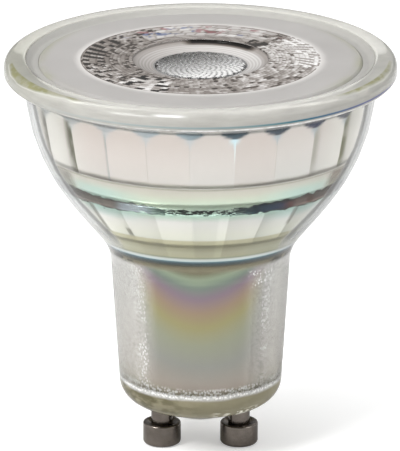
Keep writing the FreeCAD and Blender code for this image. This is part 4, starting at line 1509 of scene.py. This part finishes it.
    def _facet(self) -> tuple[Value, Value]:
        """Which facet each place is on.

        Returns:
            The facet's number, and degrees past its first corner.
        """
        place = (self.turn - self.form.facet_turn) / self.form.step
        number = self.maths("FLOOR", place)
        return number, (place - number) * self.form.step

    def _tinted(self, upper: Value) -> Value:
        """Bands of the bowl, with a tint of its own on each facet and steps of shade along the lower row.

        Args:
            upper: 1 above the ledge, 0 below it.

        Returns:
            The colour.
        """
        chance = self.add("ShaderNodeTexWhiteNoise", noise_dimensions="1D")
        self.feed(chance.inputs["W"], self._facet()[0])
        tint = self.mix(Value(self, chance.outputs["Value"]), self.tint_low, self.tint_high)
        bands = self.height.shades(*self.bowl)
        bowl = self.mix(upper.spread(0.35, 0.9), bands, self.times(bands, tint))
        shade = self.folded.curve((-90.0, 0.96), (-33.6, 0.96), (-33.3, 0.90), (-18.6, 0.90), (-18.3, 1.0),
                                  (-3.6, 1.0), (-3.3, 0.88), (7.0, 0.90), (8.0, 1.0), (11.3, 1.0), (11.7, 0.85),
                                  (26.3, 0.85), (26.7, 0.80), (90.0, 0.84))
        lower = self.height.blend(self.form.spreader_z, self.form.spreader_z - 0.3)
        return self.mix(lower, bowl, self.times(bowl, shade))

    def _bar_share(self) -> Value:
        """Bars along the upper facets' corners, which widen towards both sides.

        Returns:
            Their share.
        """
        part = self._facet()[1]
        beyond = self.folded.blend(-0.5, 0.5).between(self.form.step - part, part)
        width = self.from_face.blend(28.0, 52.0).spread(0.5, 5.0)
        bar_breaks = self.pattern(0.35, 2.0).blend(0.35, 0.6).spread(0.55, 1.0)
        upright = self.height.within(self.form.upper_facet_z + 0.1, self.form.arch_top_z - 0.7, 0.3)
        return (beyond / width).blend(1.0, 0.25) * bar_breaks * upright

    def _bowl_colour(self) -> Value:
        """Tinted bands, greyer to the sides, with a painted light line along the ledge, and bars along the facets'
        corners in painted shade and reflection with a painted highlight.

        Returns:
            The colour.
        """
        height, folded, from_face, ledge_z = self.height, self.folded, self.from_face, self.form.upper_facet_z
        upper = height.blend(ledge_z - 0.02, ledge_z + 0.02)
        mint = height.within(35.9, 40.2, 0.6) * from_face.blend(18.0, 40.0) * from_face.blend(58.0, 50.0) * 0.65
        slants = [folded.within(low, high, soft) * height.within(foot, top, fade) * share
                  for low, high, soft, foot, top, fade, share in ((-50.6, -47.6, 0.8, 33.0, 37.3, 0.4, 0.65),
                                                                  (40.4, 42.8, 0.6, 34.6, 37.4, 0.4, 0.6),
                                                                  (-36.0, -33.2, 0.7, 33.1, 34.3, 0.3, 0.7))]
        # painted highlight on the bars, 8.5 to 14 degrees right of the front
        bar_highlight = height.blend(44.6, 46.4) * folded.within(8.5, 14.0, 0.5)
        return self.cover(
            self._tinted(upper),
            (mint, srgb(184, 216, 212)),
            (from_face.blend(40.0, 60.0) * upper.spread(0.3, 1.0), srgb(224, 222, 217)),
            # painted light: a bright line along the ledge, with a darker band just under it
            (height.within(ledge_z - 0.06, ledge_z + 0.06, 0.03), self.ledge),
            (height.within(ledge_z - 0.34, ledge_z - 0.08, 0.08) * 0.55, srgb(150, 148, 134)),
            (slants[0].most(*slants[1:]), srgb(118, 116, 106)),
            # bars in painted shade and reflection, with the painted highlight
            (self._bar_share(), self.mix(bar_highlight, folded.shades(*self.bars), srgb(238, 252, 255))))

    def _plate_edge_shade(self) -> tuple[Value, Value]:
        """Painted shade: a dark band at the plate's edge, which is thinner and lower at the front.

        Returns:
            Its share and its colour.
        """
        height, folded, from_face = self.height, self.folded, self.from_face
        wave = self.pattern(0.9, 4.0, 2.2).spread(-0.6, 0.6)
        thickness = folded.curve((-90.0, 0.8), (-40.0, 0.78), (-18.0, 0.55), (-12.0, 0.42), (8.0, 0.40),
                                 (20.0, 0.68), (45.0, 0.8), (90.0, 0.8))
        side_z, front_z = (self.form.spreader_z + rise for rise in self.plate_shade_rise)
        off = abs(height + wave - from_face.blend(24.0, 12.0).spread(side_z, front_z))
        fringe = self.pattern(1.8, 4.0, 3.0).blend(0.46, 0.62) * from_face.blend(22.0, 10.0)
        ring = (thickness - off).blend(-0.06, 0.1) * (1.0 - fringe)
        wedge = from_face.within(55.0, 66.0, 3.0) * height.within(37.6, 41.0, 0.3) * 0.7
        patchy = self.pattern(0.5, 1.0, 0.05).blend(0.42, 0.60) * from_face.blend(30.0, 40.0) * 0.45
        return ring.most(wedge), self.mix(patchy, folded.shades(*self.gap), srgb(140, 132, 126))

    def _spandrel_reflection(self) -> Value:
        """Painted reflections in the spandrels between the arches: teal above the knee, paler away from the corners,
        and light below, with a painted highlight near 11 degrees.

        Returns:
            The colour.
        """
        part = self._facet()[1]
        teal = self.mix(part.least(self.form.step - part).blend(3.6, 5.6), self.folded.shades(*self.teal),
                        srgb(214, 212, 208))
        above = self.height.blend(self.form.knee_z - 0.40, self.form.knee_z - 0.15)
        return self.mix(above, self.folded.shades(*self.arch_light), teal)


class ClearAcrylic(Finish):
    """Clear moulded plastic, frosted outside the collimator."""

    frost: float = 0.5
    frost_clear: float = 0.35
    frost_colour: Colour = (0.54, 0.522, 0.505)
    cast: Colour = (0.40, 0.405, 0.27)
    cast_r: tuple[float, float] = (19.8, 21.2)
    slope_wave: float = 0.42
    tones: tuple[tuple[float, Colour], ...] = (
        (0.0, (0.012, 0.011, 0.010)), (0.25, (0.10, 0.084, 0.072)), (0.5, (0.27, 0.242, 0.222)),
        (0.75, (0.54, 0.515, 0.495)), (1.0, (0.95, 0.94, 0.93)))

    def __init__(self, lens: FrontLens) -> None:
        """Polished window and frosted ring.

        Args:
            lens: Sizes of the lens, for the frosted ring's edges.
        """
        super().__init__("clear_acrylic")
        self.lens = lens
        ring = (self.radius.blend(self.lens.collimator_r, self.lens.collimator_r + 0.12)
                * self.height.blend(self.lens.form.seat_z + 0.05, self.lens.form.seat_z + 0.15))
        cover = self.attribute("cover")
        # the window's colour: painted reflection and shade from the mesh's tone
        cut = self.mix(cover.blend(0.0, 0.7), WHITE, self._window_tone())
        self.set(Base_Color=self.mix(ring, cut, self._frost_tone()), IOR=1.49,
                 Specular_IOR_Level=0.25, Transmission_Weight=(1.0 - cover) * ring.spread(1.0, self.frost_clear),
                 Roughness=ring.spread(0.012, self.frost), Normal=self.bump(self.pattern(9.0, 2.0), 0.004, ring))

    def _frost_tone(self) -> Value:
        """The frosted ring: drifts of tone, and an olive cast towards both sides.

        Returns:
            The colour.
        """
        drift = self.pattern(0.12, 2.0)
        dim, bright = (tuple(level * part for part in self.frost_colour) for level in (0.90, 1.12))
        inner = self.radius.blend(self.lens.collimator_r + 1.0, self.lens.collimator_r)
        beside = abs(self.turn).within(58.0, 122.0, 18.0)
        cast = beside * self.radius.within(*self.cast_r, 0.8) * drift.blend(0.3, 0.6) * 0.7
        return self.mix(cast, self.mix(drift + inner * 0.4, dim, bright), self.cast)

    def _window_tone(self) -> Value:
        """Painted reflection and shade that stand for the cut surfaces seen through the window: the mesh's tone, with
        faint hues at the back.

        Returns:
            The colour.
        """
        radius = self.radius
        ripple = self.maths("SINE", radius * (2 * math.pi / self.slope_wave))
        on_slope = radius.within(self.lens.micro_disc_r + 0.15, self.lens.dish_r - 0.6, 0.1)
        look = (self.attribute("tone") + ripple * on_slope * 0.05).ramp(list(self.tones))
        hue = self.mix(self.pattern(0.22, 1.0).blend(0.45, 0.55), srgb(150, 96, 100), srgb(96, 112, 150))
        spots = self.pattern(0.55, 2.0).blend(0.56, 0.64)
        behind = abs(self.turn).blend(128.0, 142.0) * radius.within(11.4, 14.6, 0.3)
        return self.mix(behind * spots * 0.7, look, hue)


@dataclass(frozen=True)
class PlainFinish:
    """Solid material with clouds in its colour and fine relief."""

    name: str
    dark: Shade
    light: Shade
    rough: tuple[float, float] = (0.4, 0.55)
    metallic: float = 0.0
    scale: float = 0.8
    relief: float = 0.01
    upright: float = 1.0

    def make(self) -> Finish:
        """Colour between dark and light, with roughness and relief from a finer pattern."""
        finish = Finish(self.name)
        clouds = finish.pattern(self.scale, 4.0, self.upright)
        fine = finish.pattern(self.scale * 6, 3.0, self.upright)
        finish.set(Base_Color=finish.mix(clouds, srgb(*self.dark), srgb(*self.light)), Metallic=self.metallic,
                   Roughness=fine.spread(*self.rough), Normal=finish.bump(fine, self.relief))
        return finish


@dataclass(frozen=True)
class ClearGlue:
    """Cloudy clear silicone of the bead that holds the lens."""

    colour: Colour = (0.52, 0.51, 0.48)
    clearness: float = 0.35

    def make(self) -> Finish:
        """Half-clear gloss with soft lumps."""
        finish = Finish("clear_silicone")
        lumps = finish.pattern(0.9)
        tone = finish.mix(lumps, self.colour, tuple(1.15 * part for part in self.colour))
        finish.set(Base_Color=tone, IOR=1.41, Transmission_Weight=self.clearness,
                   Roughness=lumps.spread(0.25, 0.4), Normal=finish.bump(lumps, 0.03))
        return finish


PLAIN_FINISHES = (
    PlainFinish("spreader_aluminium", (150, 152, 154), (190, 191, 192), (0.28, 0.42), 1.0, 0.5, 0.003),
    PlainFinish("grey_silicone", (104, 110, 116), (124, 130, 136), (0.6, 0.75)),
    PlainFinish("white_board", (196, 196, 192), (214, 214, 210), (0.35, 0.5)),
    PlainFinish("white_ceramic", (214, 212, 206), (230, 228, 222), (0.4, 0.55)),
    PlainFinish("yellow_phosphor", (150, 140, 112), (182, 172, 140), (0.35, 0.5), scale=1.6),
    PlainFinish("screw_steel", (110, 110, 112), (160, 160, 162), (0.2, 0.35), 1.0, 1.2, 0.003),
    PlainFinish("white_plastic", (214, 212, 205), (228, 226, 220), (0.4, 0.55)),
    PlainFinish("green_board", (30, 84, 48), (44, 106, 62), (0.3, 0.45), scale=1.5),
    PlainFinish("capacitor_sleeve", (20, 22, 30), (34, 38, 50), (0.25, 0.4)),
    PlainFinish("film_box", (150, 44, 24), (172, 58, 34), (0.25, 0.4)),
    PlainFinish("fuse_ceramic", (84, 108, 96), (104, 128, 114), (0.45, 0.6)),
    PlainFinish("ferrite", (34, 34, 38), (52, 52, 56), (0.5, 0.7), scale=2.0),
    PlainFinish("winding_copper", (196, 152, 44), (220, 178, 66), (0.4, 0.55), upright=8.0),
    PlainFinish("black_epoxy", (16, 16, 17), (28, 28, 30), (0.45, 0.65), scale=2.5),
    PlainFinish("pin_nickel", (84, 78, 73), (140, 132, 125), (0.18, 0.32), 1.0, 0.7, 0.004),
    PlainFinish("tinned_copper", (150, 148, 142), (190, 188, 182), (0.2, 0.35), 1.0, 1.5, 0.004),
    PlainFinish("red_lead", (140, 22, 18), (164, 34, 28), (0.3, 0.45)),
    PlainFinish("black_lead", (14, 14, 15), (26, 26, 28), (0.3, 0.45)),
)


@dataclass(frozen=True)
class SoftBox:
    """A broad soft light in the surroundings, by its direction, the cosines at its edge and core and its brightness."""

    direction: Point
    edge: float
    core: float
    brightness: float


@dataclass(frozen=True)
class Lamp:
    """A round area lamp: its place and size in metres, and its power in watts."""

    name: str
    place: Point
    size: float
    power: float


@dataclass(frozen=True)
class Studio:
    """Pale floor, white surroundings, soft lamps and the camera, in metres."""

    dome: float = 0.25
    boxes: tuple[SoftBox, ...] = (
        SoftBox((-0.9, -0.3, 0.30), 0.45, 0.9, 0.75), SoftBox((0.9, -0.1, 0.25), 0.6, 0.95, 0.3),
        SoftBox((0.6, 0.8, 0.9), 0.75, 0.97, 0.5), SoftBox((-0.2, -0.2, 1.0), 0.8, 0.98, 0.3))
    lamps: tuple[Lamp, ...] = (
        Lamp("key", (-0.42, -0.38, 0.55), 0.30, 4.5), Lamp("fill", (0.55, -0.30, 0.35), 0.40, 1.2),
        Lamp("top", (0.05, 0.10, 0.75), 0.40, 1.5))
    lamp_target: Point = (0.0, 0.0, 0.027)
    floor_reach: float = 1.5
    floor_z: float = -0.00005
    floor_colour: Colour = (0.82, 0.82, 0.82)
    floor_glow: float = 0.35
    camera_place: Point = (0.0, -0.66266, 0.25259)
    camera_target: Point = (-0.000064, 0.0, 0.02965)
    camera_lens: float = 434.93

    def _world(self) -> None:
        """Grey dome with soft boxes; the camera sees it as plain white.

        Each box adds its brightness times a smooth blend of the cosine between the view and the box's direction.
        """
        world = bpy.data.worlds.new("studio")
        bpy.context.scene.world = world
        world.use_nodes = True
        nodes = Nodes(world.node_tree)
        place = Value(nodes, nodes.add("ShaderNodeTexCoord").outputs["Generated"])
        total: Number = self.dome
        for box in self.boxes:
            length = math.sqrt(sum(part * part for part in box.direction))
            cosine = nodes.vectors("DOT_PRODUCT", "Value", place, tuple(part / length for part in box.direction))
            total = cosine.blend(box.edge, box.core) * box.brightness + total
        white = nodes.add("ShaderNodeMix")
        seen = Value(nodes, nodes.add("ShaderNodeLightPath").outputs["Is Camera Ray"])
        for name, value in (("Factor", seen), ("A", total), ("B", 1.0)):
            nodes.feed(white.inputs[name], value)
        background = nodes.tree.nodes["Background"]
        nodes.feed(background.inputs["Strength"], Value(nodes, white.outputs["Result"]))
        nodes.feed(background.inputs["Color"], WHITE)

    def _floor(self) -> bpy.types.Object:
        """A square floor that glows a little for the camera, so that it comes out as white as the surroundings."""
        mesh = bpy.data.meshes.new("studio_floor")
        corners = [(x * self.floor_reach, y * self.floor_reach, self.floor_z)
                   for x, y in ((-1, -1), (1, -1), (1, 1), (-1, 1))]
        mesh.from_pydata(corners, [], [(0, 1, 2, 3)])
        floor = bpy.data.objects.new("studio_floor", mesh)
        bpy.context.scene.collection.objects.link(floor)
        finish = Finish("studio_floor")
        path = finish.add("ShaderNodeLightPath")
        camera, through = (Value(finish, path.outputs[name]) for name in ("Is Camera Ray", "Is Transmission Ray"))
        finish.set(Base_Color=self.floor_colour, Roughness=0.9, Emission_Color=WHITE,
                   Emission_Strength=camera.most(through) * self.floor_glow)
        finish.dress(floor)
        return floor

    @staticmethod
    def _aimed(name: str, data: bpy.types.ID, place: Point, target: Point) -> bpy.types.Object:
        """Put a lamp or a camera at a place, turned towards a target.

        Args:
            name: Name of the object.
            data: The lamp or camera.
            place: Where it stands.
            target: What it looks at.

        Returns:
            The object.
        """
        piece = bpy.data.objects.new(name, data)
        aim = np.array(target) - np.array(place)
        piece.location = place
        piece.rotation_euler = (math.atan2(float(np.hypot(aim[0], aim[1])), -float(aim[2])), 0.0,
                                math.atan2(float(aim[1]), float(aim[0])) - math.pi / 2)
        bpy.context.scene.collection.objects.link(piece)
        return piece

    def build(self) -> bpy.types.Object:
        """Set up the studio and return its floor."""
        scene = bpy.context.scene
        scene.view_settings.view_transform = "Standard"
        self._world()
        for lamp in self.lamps:
            data = bpy.data.lights.new(lamp.name, "AREA")
            data.shape, data.size, data.energy = "DISK", lamp.size, lamp.power
            self._aimed(lamp.name, data, lamp.place, self.lamp_target)
        camera = bpy.data.cameras.new("camera")
        camera.lens, camera.sensor_width = self.camera_lens, 36.0
        camera.clip_start, camera.clip_end = 0.05, 10.0
        scene.camera = self._aimed("camera", camera, self.camera_place, self.camera_target)
        return self._floor()


def report(piece: bpy.types.Object) -> None:
    """Log a piece's name, size and material."""
    LOG.info("%s: %d faces, %s", piece.name, len(piece.data.polygons), piece.data.materials[0].name)


def main() -> None:
    """Build and dress the bulb, and report each piece."""
    logging.basicConfig(level=logging.INFO, format="%(name)s %(message)s")
    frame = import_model()
    floor = Studio().build()
    form = GlassForm()
    housing = Housing(form)

    glass = housing.glass()
    PressedGlass(form).dress(glass)
    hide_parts("glass_housing")
    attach(glass, "root")

    coat = housing.coating()
    ColourCoating(form).dress(coat)
    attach(coat, "root")

    lens = FrontLens(form)
    window = lens.build()
    ClearAcrylic(lens).dress(window)
    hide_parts("front_lens")
    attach(window, "root")

    finishes = {finish.name: finish.make() for finish in PLAIN_FINISHES}
    finishes["clear_silicone"] = ClearGlue().make()
    for node in frame["nodes"].values():
        if not node.hide_render:
            finishes[node.data.materials[0].name].dress(node)
            report(node)
    for piece in (glass, coat, window):
        report(piece)


if __name__ == "__main__":
    main()
